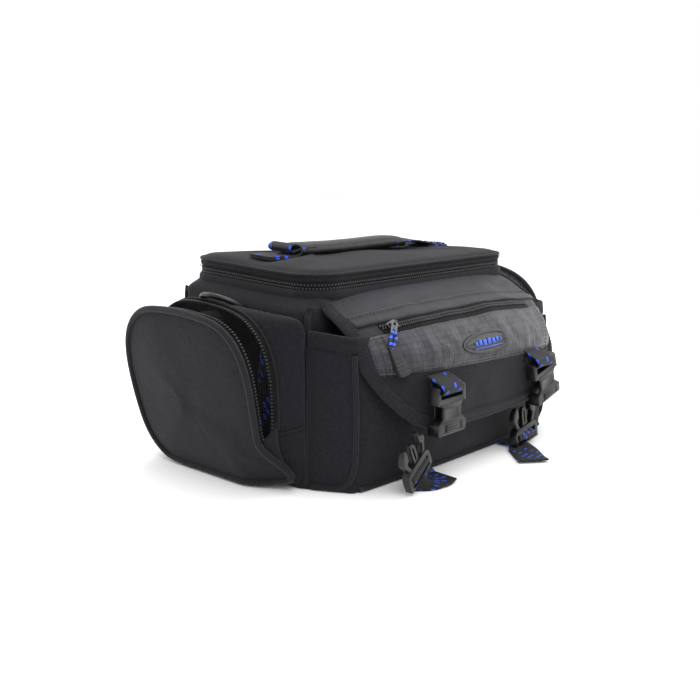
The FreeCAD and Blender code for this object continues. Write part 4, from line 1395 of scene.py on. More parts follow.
class TAILBAG_OT_flap_pocket(bpy.types.Operator):
    """The gridded pocket on the flap, with its zip, slider and cord pull."""
    bl_idname = "tailbag.flap_pocket"
    bl_label = "Flap pocket"

    def execute(self, context):
        across = [-115 + 230 * step / 92 for step in range(93)]

        def puff(x, t):
            pucker = 1.1 * ripple(x, t * 40, 0, 9, 2.0) + 1.6 * ripple(x, t * 40, 0, 21, 6.0)
            hold = math.sin(math.pi * min(1, max(0, t))) ** 0.6 * (1 - smooth(abs(x), 100, 115))
            return 1.1 + hold * (2.2 + pucker)

        rows = flap_band(lambda x: part_at(x, zip_height(x) - 3.4),
                         lambda x: part_at(x, ripstop_foot(x)),
                         puff, 26, across, 1.0)
        panel = grid_piece("flap_pocket_cloth", rows, finishes["ripstop"])
        look_along(panel, FRONT)
        thicken(panel, 0.7, -1.0)
        settle(panel, "flap", "ripstop", "flap_pocket_panel")
        placket = grid_piece("flap_zip_placket", flap_band(
            lambda x: part_at(x, zip_height(x) + 9.5), lambda x: part_at(x, zip_height(x) + 2.6),
            lambda x, t: 0.9 + 1.3 * smooth(t, 0.3, 0.8), 6, across), finishes["nylon"])
        look_along(placket, FRONT)
        thicken(placket, 0.9)
        settle(placket, "flap", "flap_fabric")
        near_zip = [-99 + 184 * step / 110 for step in range(111)]
        tape = grid_piece("flap_zip_tape_cloth", flap_band(
            lambda x: part_at(x, zip_height(x) + 4.5), lambda x: part_at(x, zip_height(x) - 4.8),
            lambda x, t: 1.3, 6, near_zip), finishes["tape"])
        look_along(tape, FRONT)
        thicken(tape, 0.6)
        settle(tape, "flap", "zip_tape", "flap_zip_tape")
        teeth = []
        pitch = size_mm("tooth_pitch") * 0.85
        for shift, lean, drop in ((0.0, 1.0, 0.75), (pitch / 2, -1.0, -0.75)):
            line = [flap_point(x, part_at(x, zip_height(x) + drop), 1.5) for x in near_zip]
            normals = [flap_normal(x, part_at(x, zip_height(x) + drop)) for x in near_zip]
            teeth.append(tooth_row("teeth", line, normals, finishes["coil"], pitch, 1.5, shift, -lean))
        settle(joined("flap_zip_teeth", teeth), "flap", "zip_tape")
        runs = []
        for rise in (0.0, 2.2):
            line = [flap_point(x, part_at(x, ripstop_foot(x) + 1.6 + rise), 1.9) for x in across]
            runs.append((line, [flap_normal(x, part_at(x, ripstop_foot(x))) for x in across]))
        line = [flap_point(x, part_at(x, zip_height(x) + 8.2), 1.6) for x in across]
        runs.append((line, [flap_normal(x, part_at(x, zip_height(x) + 8)) for x in across]))
        for x in (-103, 92):
            heights = [mix(zip_height(x) - 4, ripstop_foot(x) + 2, step / 10) for step in range(11)]
            runs.append(([flap_point(x, part_at(x, z), 2.0 + 2.4 * math.sin(math.pi * place / 10) * (
                1 - smooth(abs(x), 100, 115))) for place, z in enumerate(heights)],
                [flap_normal(x, part_at(x, z)) for z in heights]))
        stitching("flap_pocket_stitches", runs, finishes["thread"], "flap")
        self.slider_and_pull()
        return {"FINISHED"}

    def slider_and_pull(self):
        seat = flap_matrix(-90, zip_height(-90), 2.4)
        slider = zip_slider("flap_slider_body", seat @ Matrix.Rotation(math.pi / 2, 4, "Y"))
        settle(slider, "flap_slider", "slider_metal", "flap_slider")
        top = seat @ Vector((0, -3.0 * MM, -1 * MM)) / MM
        lower = flap_matrix(-100, 107, 4.5).translation / MM
        tip = flap_matrix(-98, 86, 6.0).translation / MM
        down = (lower - top).normalized()
        out = flap_normal(-95, part_at(-95, 112))
        tab_middle = top + down * 4.0 + out * 0.8
        side = down.cross(out).normalized()
        turn = Matrix((side, -out, -down)).transposed().to_4x4()
        tab = block((5.0, 1.3, 9.5), (0, 0, 0))
        tab = cut_away(tab, rod(1.2, 4, (0, 0, -2.9), "Y"), rod(1.1, 4, (0, 0, 3.0), "Y"))
        tab = shaped("flap_pull_tab_plate", finishes["nickel"],
                     Matrix.Translation(tab_middle * MM) @ turn, 0.35)
        settle(tab, "flap_pull", "pull_metal", "flap_pull_tab")
        start = top + down * 6.9 + out * 0.8
        strands = []
        for way in (-1, 1):
            points = [start + out * 0.2, start + side * way * 1.7 + down * 3.5 + out * 0.9,
                      start.lerp(lower, 0.55) + side * way * 2.0 + out * 1.2,
                      lower + side * way * 1.1 + out * 0.6,
                      lower - (lower - tip).normalized() * 3 + out * 0.3]
            strands.append(tube_piece("strand", evened(points, 20), 1.25, finishes["cord"], up=out))
        settle(joined("flap_pull_strands", strands), "flap_pull", "pull_cord", "flap_pull_cord")
        way = (tip - lower).normalized()
        side = way.cross(out).normalized()
        turn = Matrix((side, -out, -way)).transposed().to_4x4()
        length = (tip - lower).length
        grip = drawn_bar([(0, 0, -length / 2, 6.5, 3.0), (0, 0, -length / 2 + 1.5, 9.0, 4.2),
                          (0, 0, -length / 4, 9.6, 4.8), (0, 0, length / 5, 7.6, 4.4),
                          (0, 0, length / 2, 5.4, 3.6)])
        grip = cut_away(grip, *[block((12, 1.0, 1.2),
                                      (0, -2.5, -length / 2 + 4 + 3.0 * step)) for step in range(4)])
        grip = shaped("flap_pull_handle", finishes["soft_grip"],
                      Matrix.Translation((lower + tip) / 2 * MM) @ turn, 0.7)
        settle(grip, "flap_pull", "pull_rubber", "flap_pull_grip")


def zip_slider(name, matrix):
    """A zip slider: a waisted plate with a bridge over it. Its own Z runs along the zip, -Y is out."""
    body = drawn_bar([(0, 0, -4.6, 4.6, 2.6), (0, 0, -2.6, 5.8, 3.0), (0, 0, 0.5, 6.4, 3.0),
                      (0, 0, 4.4, 8.2, 2.8)])
    body = cut_away(body, block((1.4, 5, 4), (0, 0, 4.6)))
    bridge = cut_away(block((2.2, 3.4, 7.4), (0, -2.4, -0.2)), block((4, 2.0, 4.4), (0, -1.9, -0.2)))
    body = grown(body, bridge)
    return shaped(name, finishes["enamel"], matrix, 0.4, 2)


def zip_pull(name, matrix, length=20.0):
    """A flat stamped zip pull that hangs along its own -Z from the slider's bridge."""
    plate = drawn_bar([(0, 0, -length, 3.6, 1.1), (0, 0, -length + 1.4, 5.6, 1.4),
                       (0, 0, -length * 0.55, 5.2, 1.4),
                       (0, 0, -3.0, 3.2, 1.4), (0, 0, 0.6, 4.2, 1.3)])
    plate = cut_away(plate, block((2.2, 4, 7), (0, 0, -length * 0.72)),
                     block((1.9, 4, 1.7), (0, 0, -1.1)))
    return shaped(name, finishes["nickel"], matrix, 0.3, 2)


# ---------------------------------------------------------------- badge, tabs and buckles

class TAILBAG_OT_badge(bpy.types.Operator):
    """The oval rubber badge with a plain blue motif of bars."""
    bl_idname = "tailbag.badge"
    bl_label = "Badge"

    def execute(self, context):
        seat = flap_matrix(-3, 99.5, 3.6)
        deselect()
        bpy.ops.mesh.primitive_cylinder_add(radius=1, depth=1, vertices=72)
        plate = bpy.context.view_layer.objects.active
        plate.scale = (32.5 * MM, 8.8 * MM, 2.6 * MM)
        plate.rotation_euler = (math.pi / 2, 0, 0)
        bpy.ops.object.transform_apply(location=True, rotation=True, scale=True)
        bpy.ops.object.mode_set(mode="EDIT")
        bpy.ops.mesh.select_mode(type="FACE")
        bpy.ops.mesh.select_all(action="DESELECT")
        bpy.ops.object.mode_set(mode="OBJECT")
        for polygon in plate.data.polygons:
            polygon.select = polygon.normal.y < -0.9
        bpy.ops.object.mode_set(mode="EDIT")
        bpy.ops.mesh.inset(thickness=2.1 * MM)
        bpy.ops.mesh.extrude_region_move(TRANSFORM_OT_translate={"value": (0, 1.0 * MM, 0)})
        bpy.ops.mesh.inset(thickness=0.9 * MM)
        bpy.ops.mesh.extrude_region_move(TRANSFORM_OT_translate={"value": (0, -0.5 * MM, 0)})
        bpy.ops.object.mode_set(mode="OBJECT")
        plate = shaped("badge_oval", finishes["badge"], seat, 0.45, 3)
        settle(plate, "flap", "badge_rubber", "badge_plate")
        bars = []
        for place, (x, wide, tall) in enumerate(((-15.5, 3.4, 3.2), (-10.4, 4.2, 4.2), (-4.6, 4.6, 4.8),
                                                 (1.4, 4.6, 4.8), (7.2, 4.2, 4.2), (12.4, 3.4, 3.6),
                                                 (16.8, 2.4, 2.8))):
            bar = block((wide, 0.8, tall), (x, -1.1, 0.3 if place % 2 else -0.3))
            bars.append(shaped(f"badge_bar_{place}", finishes["blue"], seat, 0.35, 2))
        line = block((38, 0.7, 0.8), (0, -1.1, -4.3))
        bars.append(shaped("badge_line", finishes["blue"], seat, 0.2, 2))
        settle(joined("badge_motif", bars), "flap", "badge_blue", "badge_mark")
        return {"FINISHED"}


def female_half(name, matrix):
    """The female half, mouth down: Z up from its mouth, X across, -Y its face, about its own middle."""
    shell = drawn_bar([(0, 0, 0, 31.5, 8.6), (0, 0, 1.5, 33.2, 10), (0, 0, 9.5, 33.6, 10),
                       (0, 0, 10.5, 33.2, 9.8),
                       (0, 0, 20.5, 33.0, 9.6), (0, 0, 22, 33.6, 9.2), (0, 0, 34.5, 33.6, 7.6),
                       (0, 0, 36, 32, 6.4)])
    tools = [block((27, 5.8, 44), (0, 0.2, 2)), block((26, 14, 5.0), (0, 0, 30.0))]
    for side in (-1, 1):
        window = drawn_bar([(side * 17.5, 0, 8.4, 2, 14), (side * 17.5, 0, 13.2, 14, 14),
                            (side * 17.5, 0, 20.8, 14, 14), (side * 17.5, 0, 23.4, 8, 14)])
        tools.append(window)
        tools.append(block((5.0, 1.2, 6), (side * 9, -5.2, 5.2)))
    tools.append(block((14, 1.0, 7.5), (0, -5.2, 15.5)))
    tools.append(block((27.4, 1.4, 1.2), (0, -4.9, 24.3)))
    shell = cut_away(shell, *tools)
    for step in range(3):
        shell = grown(shell, block((15, 1.2, 0.9), (0, -4.9, 3.2 + 1.9 * step)))
    return shaped(name, finishes["acetal"], matrix, 0.55, 2, 30)


def male_half(name, matrix):
    """The male half, prongs up: a two-bar ladder, a slotted guide and two hooked prongs."""
    ladder = drawn_bar([(0, 0, 0, 31.5, 4.4), (0, 0, 1.2, 34, 5.8), (0, 0, 12, 34, 6.0),
                        (0, 0, 15.6, 30, 6.4),
                        (0, 0, 17.4, 25, 6.4)])
    ladder = cut_away(ladder, block((26.4, 10, 4.0), (0, 0, 4.6)), block((26.4, 10, 4.0), (0, 0, 10.4)))
    guide = drawn_bar([(0, 0, 16, 7, 4), (0, 0, 30, 6.2, 3.6), (0, 0, 33.4, 3.2, 2.6)])
    guide = cut_away(guide, block((1.8, 8, 11), (0, 0, 25)))
    parts = [guide]
    for side in (-1, 1):
        parts.append(drawn_bar([(side * 9.2, 0, 15.5, 4.6, 4.8), (side * 11.2, 0, 19, 3.4, 4.8),
                                (side * 13.0, 0, 23, 3.0, 4.8), (side * 13.9, 0, 25.6, 4.2, 5.0),
                                (side * 12.9, 0, 27.6, 7.2, 5.0), (side * 12.2, 0, 31, 6.4, 4.8),
                                (side * 11.2, 0, 34, 4.6, 4.4), (side * 10.4, 0, 35.8, 2.4, 3.4)]))
    grown(ladder, *parts)
    return shaped(name, finishes["acetal"], matrix, 0.5, 2, 30)


MALE_PLACES = {
    "right": Matrix.Translation(Vector((62.5, -137, 2.4)) * MM) @ Matrix.Rotation(math.radians(-11), 4,
                                                                                  "Y"),
    "left": Matrix.Translation(Vector((-87, -141.5, 9.6)) * MM) @ Matrix.Rotation(math.radians(10), 4,
                                                                                  "Z")
    @ Matrix.Rotation(math.radians(-29), 4, "Y"),
}


def through_ladder(hand):
    """The webbing's way round a lower half's middle bar, in the bag's own place."""
    return [tuple(MALE_PLACES[hand] @ (Vector(place) * MM) / MM) for place in
            ((0, 4.6, 1.2), (0, 2.0, 2.9), (0, -1.8, 4.3), (0, -2.9, 7.4), (0, -1.8, 10.5),
             (0, 2.2, 11.8),
             (0, 4.6, 9.4), (0, 4.9, 4.6))]


BUCKLE_X, BUCKLE_SHIFT, BUCKLE_PIVOT_Z, TAB_FOLD_Z = 64, 2.5, 76, 74


class TAILBAG_OT_buckles(bpy.types.Operator):
    """The four buckle halves and the webbing tabs that carry the upper two."""
    bl_idname = "tailbag.buckles"
    bl_label = "Buckles and tabs"

    def execute(self, context):
        wide = size_mm("webbing")
        for side, hand, lean in ((-1, "left", 0.0), (1, "right", -15.0)):
            pivot = Matrix.Translation(Vector((side * BUCKLE_X - BUCKLE_SHIFT, -150.2,
                                               BUCKLE_PIVOT_Z)) * MM)
            seat = pivot @ Matrix.Rotation(math.radians(lean), 4, "Y") @ Matrix.Translation(
                Vector((0, 0, -34.2)) * MM)
            shell = female_half(f"female_half_{hand}", seat)
            settle(shell, f"female_{hand}", "buckle_plastic", f"female_buckle_{hand}")
            top = flap_matrix(side * BUCKLE_X, 84.5, 2.6).translation / MM
            path = [(top.y, top.z), (-146.0, 82.6), (-151.5, 80.2), (-155.4, 77.8), (-156.0, 74.6),
                    (-152.4, 71.9),
                    (-147.4, 72.6), (-144.8, 76.0), (-143.6, 80.0)]
            path = evened([(side * BUCKLE_X - BUCKLE_SHIFT, y, z) for y, z in path], 34)
            bend = Matrix.Rotation(math.radians(lean), 4, "Y")
            turned = []
            for x, y, z in path:
                drop = smooth(84 - z, 0, 10)
                upright = Vector((0, 0, z - TAB_FOLD_Z))
                swing = bend @ upright * drop + upright * (1 - drop)
                turned.append((side * BUCKLE_X - BUCKLE_SHIFT + swing.x, y, TAB_FOLD_Z + swing.z))
            tab = ribbon_piece(f"buckle_tab_web_{hand}", turned, [Vector((1, 0, 0))] * len(turned), wide,
                               1.3,
                               finishes["webbing"])
            settle(tab, "flap", "webbing", f"buckle_tab_{hand}")
            half = male_half(f"male_half_{hand}", MALE_PLACES[hand])
            settle(half, f"male_{hand}", "buckle_plastic", f"male_buckle_{hand}")
        return {"FINISHED"}


class TAILBAG_OT_base_straps(bpy.types.Operator):
    """The straps from under the front pocket that hold the lower buckle halves."""
    bl_idname = "tailbag.base_straps"
    bl_label = "Base straps"

    def execute(self, context):
        wide = size_mm("webbing")
        right = [(61, -112, 1.3), (61, -122, 1.4), (61.5, -129, 1.8)] + through_ladder("right")
        right = evened(right, 48)
        loop = ribbon_piece("strap_right_loop", right, [Vector((1, 0.03, 0))] * len(right), wide - 0.6,
                            1.3,
                            finishes["webbing"])
        tail = evened([(57, -132.5, 2.0), (52, -139, 1.5), (44, -149, 1.1), (34, -160, 1.3),
                       (25, -170, 2.8)], 24)
        sides = [Vector((mix(1.0, 0.76, smooth(place / 23, 0, 0.4)),
                         mix(0, -0.62, smooth(place / 23, 0, 0.4)), 0))
                 for place in range(24)]
        end = ribbon_piece("strap_right_tail", tail, sides, wide, 1.4, finishes["webbing"])
        settle(joined("base_strap_right_web", [loop, end]), "bag", "webbing", "base_strap_right")
        across = (MALE_PLACES["left"].to_3x3() @ Vector((1, 0, 0))).normalized()
        front = [(-60, -112, 1.3), (-63, -121, 1.5), (-69, -131, 2.6)]
        path = evened(front + through_ladder("left"), 54)
        sides = [Vector((0.9, -0.43, 0)).lerp(across, smooth(place / 53, 0.1, 0.4)).normalized()
                 for place in range(54)]
        loop = ribbon_piece("strap_left_loop", path, sides, wide - 0.6, 1.3, finishes["webbing"])
        tail = evened([(-83, -138.5, 6.6), (-77, -140.0, 4.0), (-70, -141.0, 2.0), (-62, -141.0, 1.4),
                       (-53, -139.5, 3.0)], 26)
        sides = [across.lerp(Vector((0.1, 1, 0)),
                             smooth(place / 25, 0, 0.5)).normalized() for place in range(26)]
        end = ribbon_piece("strap_left_tail", tail, sides, wide * 0.96, 1.4, finishes["webbing"])
        settle(joined("base_strap_left_web", [loop, end]), "bag", "webbing", "base_strap_left")
        return {"FINISHED"}


# ---------------------------------------------------------------- end pockets

ZIP_EDGE = [(5, 1.2), (-38, 1.2), (-56, 6), (-65, 22), (-66.5, 55), (-64, 88), (-54, 112), (-32, 128),
            (5, 134.2),
            (40, 132), (64, 116), (75.5, 90), (78, 55), (75, 22), (64, 5), (42, 1.2)]
OPEN_EDGE = [(5, 3), (-36, 3), (-62, 3), (-76, 6.5), (-71.5, 19), (-65.5, 40), (-68, 66), (-70, 96),
             (-64, 119),
             (-49, 131), (-22, 135.5), (5, 136), (31, 133), (51, 121), (65, 100), (71.5, 68), (70, 28),
             (55, 7),
             (32, 3)]
WALL_EDGE = [(5, 1.2), (-40, 1.2), (-68, 1.4), (-77.2, 8), (-78.2, 52), (-78.6, 100), (-77.5, 122),
             (-69, 127.5),
             (-44, 128), (5, 126.5), (42, 121), (64, 110), (76, 88), (77.5, 52), (77, 20), (68, 4),
             (42, 1.2)]
EDGE_STEPS = 150
CENTRE = (5, 64)
OPEN_ANGLE = math.radians(15)
HINGE_OUT, HINGE_Z = 173.1, 4.0
WALL_OUT = 143.2
STUFFED = 1.22


def edge_line(edge):
    return evened(edge, EDGE_STEPS, True)


def arch_span(line, low_front=44.0, low_rear=48.0):
    """Places of the zipped arch on an end edge, from the front seam over the top to the rear one."""
    return [place for place, (y, z) in enumerate(line) if z > (low_front if y < 5 else low_rear)]


class EndPocket:
    """One end pocket: side is -1 at the left and 1 at the right, where it stays closed."""

    def __init__(self, side, hand):
        self.side, self.hand = side, hand
        self.fixed = edge_line(ZIP_EDGE)
        if side > 0:
            self.fixed = [(y - 11 * smooth(-y, 10, 60), z + 4 * smooth(z, 90, 130)) for y,
                          z in self.fixed]
        self.moving = edge_line(OPEN_EDGE) if side < 0 else self.fixed
        self.wall = edge_line(WALL_EDGE)
        self.arch = arch_span(self.fixed)
        self.panel = "panel_" + hand

    def at(self, out, place):
        """A point that far out along X; the closed right pocket is stuffed and stands further out."""
        if self.side > 0:
            out = WALL_OUT + (out - WALL_OUT) * STUFFED
        return (self.side * out, place[0], place[1])

    def opened(self, point):
        """A point of the panel, turned out with it where it stands open."""
        if self.side > 0:
            return tuple(point)
        x, y, z = point
        tuck = 15.0 * smooth(-y, 34, 76) * (1 - smooth(z, 6, 44))
        away, up = x + 3.5 + tuck + HINGE_OUT, z - HINGE_Z
        turn_cos, turn_sin = math.cos(OPEN_ANGLE), math.sin(OPEN_ANGLE)
        return (-HINGE_OUT + away * turn_cos - up * turn_sin, y,
                HINGE_Z + away * turn_sin + up * turn_cos)

    def ring(self, line, out, inset=0.0, opened=False):
        points = []
        for y, z in line:
            reach = math.hypot(y - CENTRE[0], z - CENTRE[1])
            share = 1 - inset / reach
            point = self.at(out, (CENTRE[0] + (y - CENTRE[0]) * share,
                                  CENTRE[1] + (z - CENTRE[1]) * share))
            points.append(self.opened(point) if opened else point)
        return points

    def outward(self, piece):
        """Turns a band that runs round the pocket so that its faces look away from the middle."""
        total = 0.0
        for polygon in piece.data.polygons:
            spot = polygon.center / MM
            total += (polygon.normal.y * (spot.y - CENTRE[0]) + polygon.normal.z * (spot.z - CENTRE[1])
                      ) * polygon.area
        if total < 0:
            piece.data.flip_normals()

    def gusset(self):
        rows = []
        for step in range(9):
            part = step / 8
            row = []
            for wall, edge in zip(self.wall, self.fixed):
                y, z = mix(wall[0], edge[0], part), mix(wall[1], edge[1], part)
                bow = 1.6 * math.sin(math.pi * part) + 0.9 * ripple(part * 14, y, z, 24,
                                                                    3.0) * part * (1 - part) * 4
                reach = math.hypot(y - CENTRE[0], z - CENTRE[1])
                row.append(self.at(mix(WALL_OUT, 158.6, part), (
                    y + bow * (y - CENTRE[0]) / reach, max(0.5, z + bow * (z - CENTRE[1]) / reach))))
            rows.append(row)
        band = grid_piece(f"end_gusset_cloth_{self.hand}", rows, finishes["cloth"], around=True)
        self.outward(band)
        thicken(band, 1.3)
        settle(band, "bag", "body_fabric", f"end_gusset_{self.hand}")
        first = [self.fixed[place] for place in self.arch]
        seam = tube_piece(f"end_gusset_seam_{self.hand}", self.ring(first, 158.8, -0.4), 1.0,
                          finishes["piping"])
        settle(seam, "bag", "piping_fabric")

    def cross_seam(self):
        """The seam where the unzipped lower gusset starts."""
        front = [(y, z) for y, z in self.fixed if y < 0 and 43 < z < 48][0]
        wall = [(y, z) for y, z in self.wall if y < 0 and 44 < z < 50][0]
        line = [self.at(mix(143.6, 158.8, step / 8),
                        (mix(wall[0], front[0], step / 8) - 0.9 - 1.4 * math.sin(
            math.pi * step / 8), mix(wall[1] + 1.5, front[1], step / 8))) for step in range(9)]
        seam = tube_piece(f"end_cross_seam_{self.hand}", evened(line, 24), 0.8, finishes["piping"])
        settle(seam, "bag", "piping_fabric")

    def zips(self):
        pitch = size_mm("tooth_pitch")
        fixed = [self.fixed[place] for place in self.arch]
        moving = [self.moving[place] for place in self.arch]
        for name, line, levels, opened, body, lean, shift, node in (
                ("end_zip_fixed", fixed, (158.2, 160.5, 163.0, 164.2), False, "bag", 1.0, 0.0,
                 "end_zip_fixed_"),
                ("end_zip_moving", moving, (165.6, 166.4, 167.6, 169.0), True, self.panel, -1.0,
                 pitch / 2,
                 "end_zip_moving_")):
            rows = [self.ring(line, out, 1.2, opened) for out in levels]
            tape = grid_piece(f"{name}_tape_{self.hand}", rows, finishes["tape"])
            self.outward(tape)
            thicken(tape, 0.8)
            settle(tape, body, "zip_tape", node + self.hand)
            row = self.ring(line, 164.2 if not opened else 165.8, 1.0, opened)
            fine = [tuple(through(row, step / 260)) for step in range(261)]
            away = []
            for point in fine:
                away.append(Vector((0, point[1] - CENTRE[0], point[2] - CENTRE[1])).normalized())
            teeth = tooth_row(f"{name}_teeth_{self.hand}", fine, away, finishes["coil"], pitch, 1.6,
                              shift,
                              lean * self.side)
            settle(teeth, body, "zip_tape")

    def panel_cloth(self):
        side_band = [(168.4, 1.0), (169.0, 0.4), (171.2, 0.2), (172.2, 0.6)]
        rows = [self.ring(self.moving, 168.0, 9, True), self.ring(self.moving, 167.6, 3, True)]
        rows += [self.ring(self.moving, out, inset, True) for out, inset in side_band]
        bulge = size_mm("panel_bulge") * (1.0 if self.side > 0 else 0.72)
        for share in (0.985, 0.965, 0.93, 0.88, 0.82, 0.75, 0.67, 0.58, 0.49, 0.40, 0.31, 0.22, 0.13,
                      0.05):
            row = []
            for y, z in self.moving:
                py, pz = CENTRE[0] + (y - CENTRE[0]) * share, CENTRE[1] + (z - CENTRE[1]) * share
                out = 172.4 + bulge * (1 - share ** 2.8)
                slack = 1.0 * ripple(py, pz, self.side * 3, 46, 2.5) + 0.4 * ripple(py, pz, 7, 17, 1.0)
                row.append(self.opened(self.at(out + slack * (1 - share ** 6), (py, pz))))
            rows.append(row)
        panel = grid_piece(f"end_panel_cloth_{self.hand}", rows, finishes["cloth"], around=True,
                           cap_first=True,
                           cap_last=True)
        activate(panel)
        bpy.ops.object.mode_set(mode="EDIT")
        bpy.ops.mesh.select_all(action="SELECT")
        bpy.ops.mesh.normals_make_consistent(inside=False)
        bpy.ops.object.mode_set(mode="OBJECT")
        flat_cloth(panel, lambda face: abs(face.normal.x) > 0.45, 1, 2)
        hem = EDGE_STEPS * (len(side_band) + 3)
        held = {tuple(vertex.co) for vertex in panel.data.vertices[:hem]}
        puffed(panel, lambda place: 1.0 if tuple(place * MM) in held else 0.1, cap=2.0, frames=14)
        settle(panel, self.panel, "body_fabric", f"end_panel_{self.hand}")
        inner = grid_piece(f"end_panel_lining_{self.hand}", [
            self.ring(self.moving, out, inset, True) for out, inset in
            ((167.4, 2.4), (167.2, 8), (167.3, 20), (167.2, 40), (167.3, 56))], finishes["lining"],
                           around=True,
            cap_last=True)
        look_along(inner, Vector((-self.side, 0, 0)))
        thicken(inner, 0.5, 1.0)
        settle(inner, self.panel, "lining_fabric")
        cord = tube_piece(f"end_piping_cord_{self.hand}", self.ring(self.moving, 172.6, -0.5, True),
                          size_mm("piping") + 0.3, finishes["piping"], closed=True)
        settle(cord, self.panel, "piping_fabric", f"end_piping_{self.hand}")

    def lower_gusset(self):
        """The unzipped cloth under the arch that joins the panel to the bag."""
        first, last = self.arch[0], self.arch[-1]
        places = list(range(last - 2, EDGE_STEPS)) + list(range(0, first + 3))
        rows = []
        for step in range(9):
            part = step / 8
            row = []
            for place in places:
                near = Vector(self.ring([self.fixed[place]], 158.4, 0.4)[0])
                far = Vector(self.ring([self.moving[place]], 168.8, 0.8, True)[0])
                point = near.lerp(far, part)
                slack = 1.4 * math.sin(math.pi * part) * (1 + 0.8 * ripple(point.x, point.y, point.z, 15,
                                                                           6.0))
                away = Vector((0, point.y - CENTRE[0], point.z - CENTRE[1])).normalized()
                point += away * slack * (1 if point.z > 8 else 0.2)
                row.append((point.x, point.y, max(0.5, point.z)))
            rows.append(row)
        cloth = grid_piece(f"end_lower_gusset_{self.hand}", rows, finishes["cloth"])
        self.outward(cloth)
        thicken(cloth, 1.1)
        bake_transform(cloth)

    def fittings(self):
        rear = Vector(self.at(164.6, (80.3, 58)))
        turn = Matrix.Rotation(math.pi, 4, "Z")
        slider = zip_slider(f"end_slider_body_{self.hand}", Matrix.Translation(rear * MM) @ turn)
        settle(slider, f"end_slider_{self.hand}", "slider_metal", f"end_slider_{self.hand}")
        pull = zip_pull(f"end_pull_plate_{self.hand}", Matrix.Translation(
            Vector(self.at(164.6, (83.6, 54.5))) * MM) @ turn, 22)
        settle(pull, f"end_pull_{self.hand}", "pull_metal", f"end_pull_{self.hand}")
        wide = size_mm("webbing")
        path = evened([(self.side * 144.6, -43.5, 24), (self.side * 146.0, -43.5, 40),
                       (self.side * 145.4, -43.5, 62),
                       (self.side * 144.4, -43.5, 84), (self.side * 142.6, -43.5, 99)], 20)
        strap = ribbon_piece(f"end_strap_web_{self.hand}", path, [Vector((0, self.side, 0))] * 20, wide,
                             1.4,
                             finishes["webbing"])
        settle(strap, "bag", "webbing", f"end_strap_{self.hand}")
        lean = math.radians(30)
        line = []
        for step in range(49):
            angle = math.radians(mix(-14, 194, step / 48))
            line.append((21 * math.cos(angle), 21 * math.sin(angle) * 0.96 + 5))
        line = [(20.3, -0.5)] + line + [(-20.3, -0.5)]
        ring = []
        for across, out in evened(line, 72, True):
            x = 139.5 + out * math.cos(lean)
            ring.append((self.side * x, 5 + across, 127 + out * math.sin(lean)))
        loop = tube_piece(f"d_ring_loop_{self.hand}", ring, 2.15, finishes["ring"], closed=True,
                          sides=14)
        settle(loop, f"ring_{self.hand}", "ring_plastic", f"d_ring_{self.hand}")
        tab = evened([(self.side * 136.8, 5, 113), (self.side * 139.8, 5, 120),
                      (self.side * 142.6, 5, 126.5),
                      (self.side * 140.5, 5, 130.2), (self.side * 136.4, 5, 128.6),
                      (self.side * 134.4, 5, 121)], 24)
        web = ribbon_piece(f"d_ring_tab_{self.hand}", tab, [Vector((0, self.side, 0))] * 24, wide + 4,
                           1.4,
                           finishes["cloth"])
        settle(web, "bag", "webbing", f"d_ring_webbing_{self.hand}")


class TAILBAG_OT_end_pockets(bpy.types.Operator):
    """Both end pockets with their gussets, zips, padded panels, linings, rings and straps."""
    bl_idname = "tailbag.end_pockets"
    bl_label = "End pockets"

    def execute(self, context):
        for side, hand in ((-1, "left"), (1, "right")):
            pocket = EndPocket(side, hand)
            pocket.gusset()
            pocket.cross_seam()
            pocket.zips()
            pocket.panel_cloth()
            pocket.lower_gusset()
            pocket.fittings()
        return {"FINISHED"}


class TAILBAG_OT_lid_sliders(bpy.types.Operator):
    """The two sliders of the lid's zip, parked at the right end, and their pulls."""
    bl_idname = "tailbag.lid_sliders"
    bl_label = "Lid sliders"

    def execute(self, context):
        for way, hand in ((-1, "front"), (1, "rear")):
            place = Matrix.Translation(Vector((127.6, way * 6.5, 147.5)) * MM)
            seat = place @ Matrix.Rotation(math.pi / 2, 4, "Z") @ Matrix.Rotation(way * math.pi / 2, 4,
                                                                                  "Y")
            slider = zip_slider(f"lid_slider_body_{hand}", seat)
            settle(slider, f"lid_slider_{hand}", "slider_metal", f"lid_slider_{hand}")
            hang = Matrix.Translation(Vector((131.6, way * 6.5,
                                              149.2)) * MM) @ Matrix.Rotation(math.pi / 2, 4, "Z")
            pull = zip_pull(f"lid_pull_plate_{hand}", hang, 13)
            settle(pull, f"lid_pull_{hand}", "pull_metal", f"lid_pull_{hand}")
        return {"FINISHED"}


# ---------------------------------------------------------------- stage

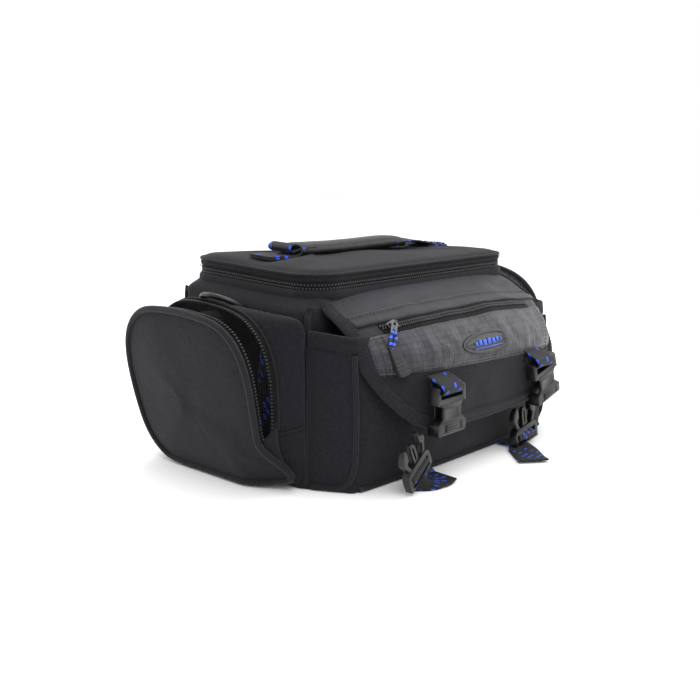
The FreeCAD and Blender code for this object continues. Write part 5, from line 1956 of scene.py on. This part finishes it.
class TAILBAG_OT_stage(bpy.types.Operator):
    """Pale floor, soft studio lights and the camera."""
    bl_idname = "tailbag.stage"
    bl_label = "Stage"

    def execute(self, context):
        deselect()
        bpy.ops.mesh.primitive_plane_add(size=8)
        floor = bpy.context.view_layer.objects.active
        floor.name = "studio_floor"
        floor.data.materials.append(finishes["floor"])
        world = bpy.data.worlds.new("studio_air")
        world.use_nodes = True
        world.node_tree.nodes["Background"].inputs[0].default_value = (1, 1, 1, 1)
        world.node_tree.nodes["Background"].inputs[1].default_value = 1.0
        bpy.context.scene.world = world
        bpy.context.scene.view_settings.view_transform = "Standard"
        middle = Vector((-20, -30, 75)) * MM
        for name, place, watts, wide in (("key_light", (-0.7, -1.1, 1.5), 13, 1.1),
                                         ("top_light", (0.3, 0.2, 1.9), 20, 1.5),
                                         ("fill_light", (1.4, -0.9, 0.9), 10, 1.2),
                                         ("back_light", (-0.6, 1.5, 1.1), 6, 1.0)):
            data = bpy.data.lights.new(name, "AREA")
            data.energy, data.size = watts, wide
            light = bpy.data.objects.new(name, data)
            bpy.context.scene.collection.objects.link(light)
            light.location = place
            light.rotation_euler = (middle - Vector(place)).to_track_quat("-Z", "Y").to_euler()
        data = bpy.data.cameras.new("camera")
        data.lens, data.sensor_width = 49.29, 36.0
        data.clip_start = 0.01
        camera = bpy.data.objects.new("camera", data)
        bpy.context.scene.collection.objects.link(camera)
        camera.location = (-0.61931, -0.56066, 0.24103)
        camera.rotation_euler = (math.radians(78.69), 0.0, math.radians(-47.42))
        bpy.context.scene.camera = camera
        return {"FINISHED"}


class TAILBAG_PT_panel(bpy.types.Panel):
    """Lists the steps that build the tail bag."""
    bl_idname = "TAILBAG_PT_panel"
    bl_label = "Tail bag"
    bl_space_type = "VIEW_3D"
    bl_region_type = "UI"
    bl_category = "Tail bag"

    def draw(self, context):
        for settings in (context.scene.tail_bag_sizes, context.scene.tail_bag_colours):
            box = self.layout.box()
            for key in type(settings).__annotations__:
                box.prop(settings, key)
        for maker in MAKERS:
            self.layout.operator(maker.bl_idname)


MAKERS = (TAILBAG_OT_stage, TAILBAG_OT_body, TAILBAG_OT_piping, TAILBAG_OT_rim, TAILBAG_OT_lid,
          TAILBAG_OT_handle, TAILBAG_OT_front_pocket, TAILBAG_OT_flap, TAILBAG_OT_flap_pocket,
          TAILBAG_OT_badge,
          TAILBAG_OT_buckles, TAILBAG_OT_base_straps, TAILBAG_OT_end_pockets, TAILBAG_OT_lid_sliders)
CLASSES = (TAILBAG_PG_colours, TAILBAG_PG_sizes) + MAKERS + (TAILBAG_PT_panel,)


def register():
    for item in CLASSES:
        bpy.utils.register_class(item)
    bpy.types.Scene.tail_bag_colours = bpy.props.PointerProperty(type=TAILBAG_PG_colours)
    bpy.types.Scene.tail_bag_sizes = bpy.props.PointerProperty(type=TAILBAG_PG_sizes)


def unregister():
    del bpy.types.Scene.tail_bag_sizes
    del bpy.types.Scene.tail_bag_colours
    for item in reversed(CLASSES):
        bpy.utils.unregister_class(item)


def main():
    register()
    make_finishes(colours())
    for maker in MAKERS:
        group, name = maker.bl_idname.split(".")
        getattr(getattr(bpy.ops, group), name)()


if __name__ == "__main__":
    main()
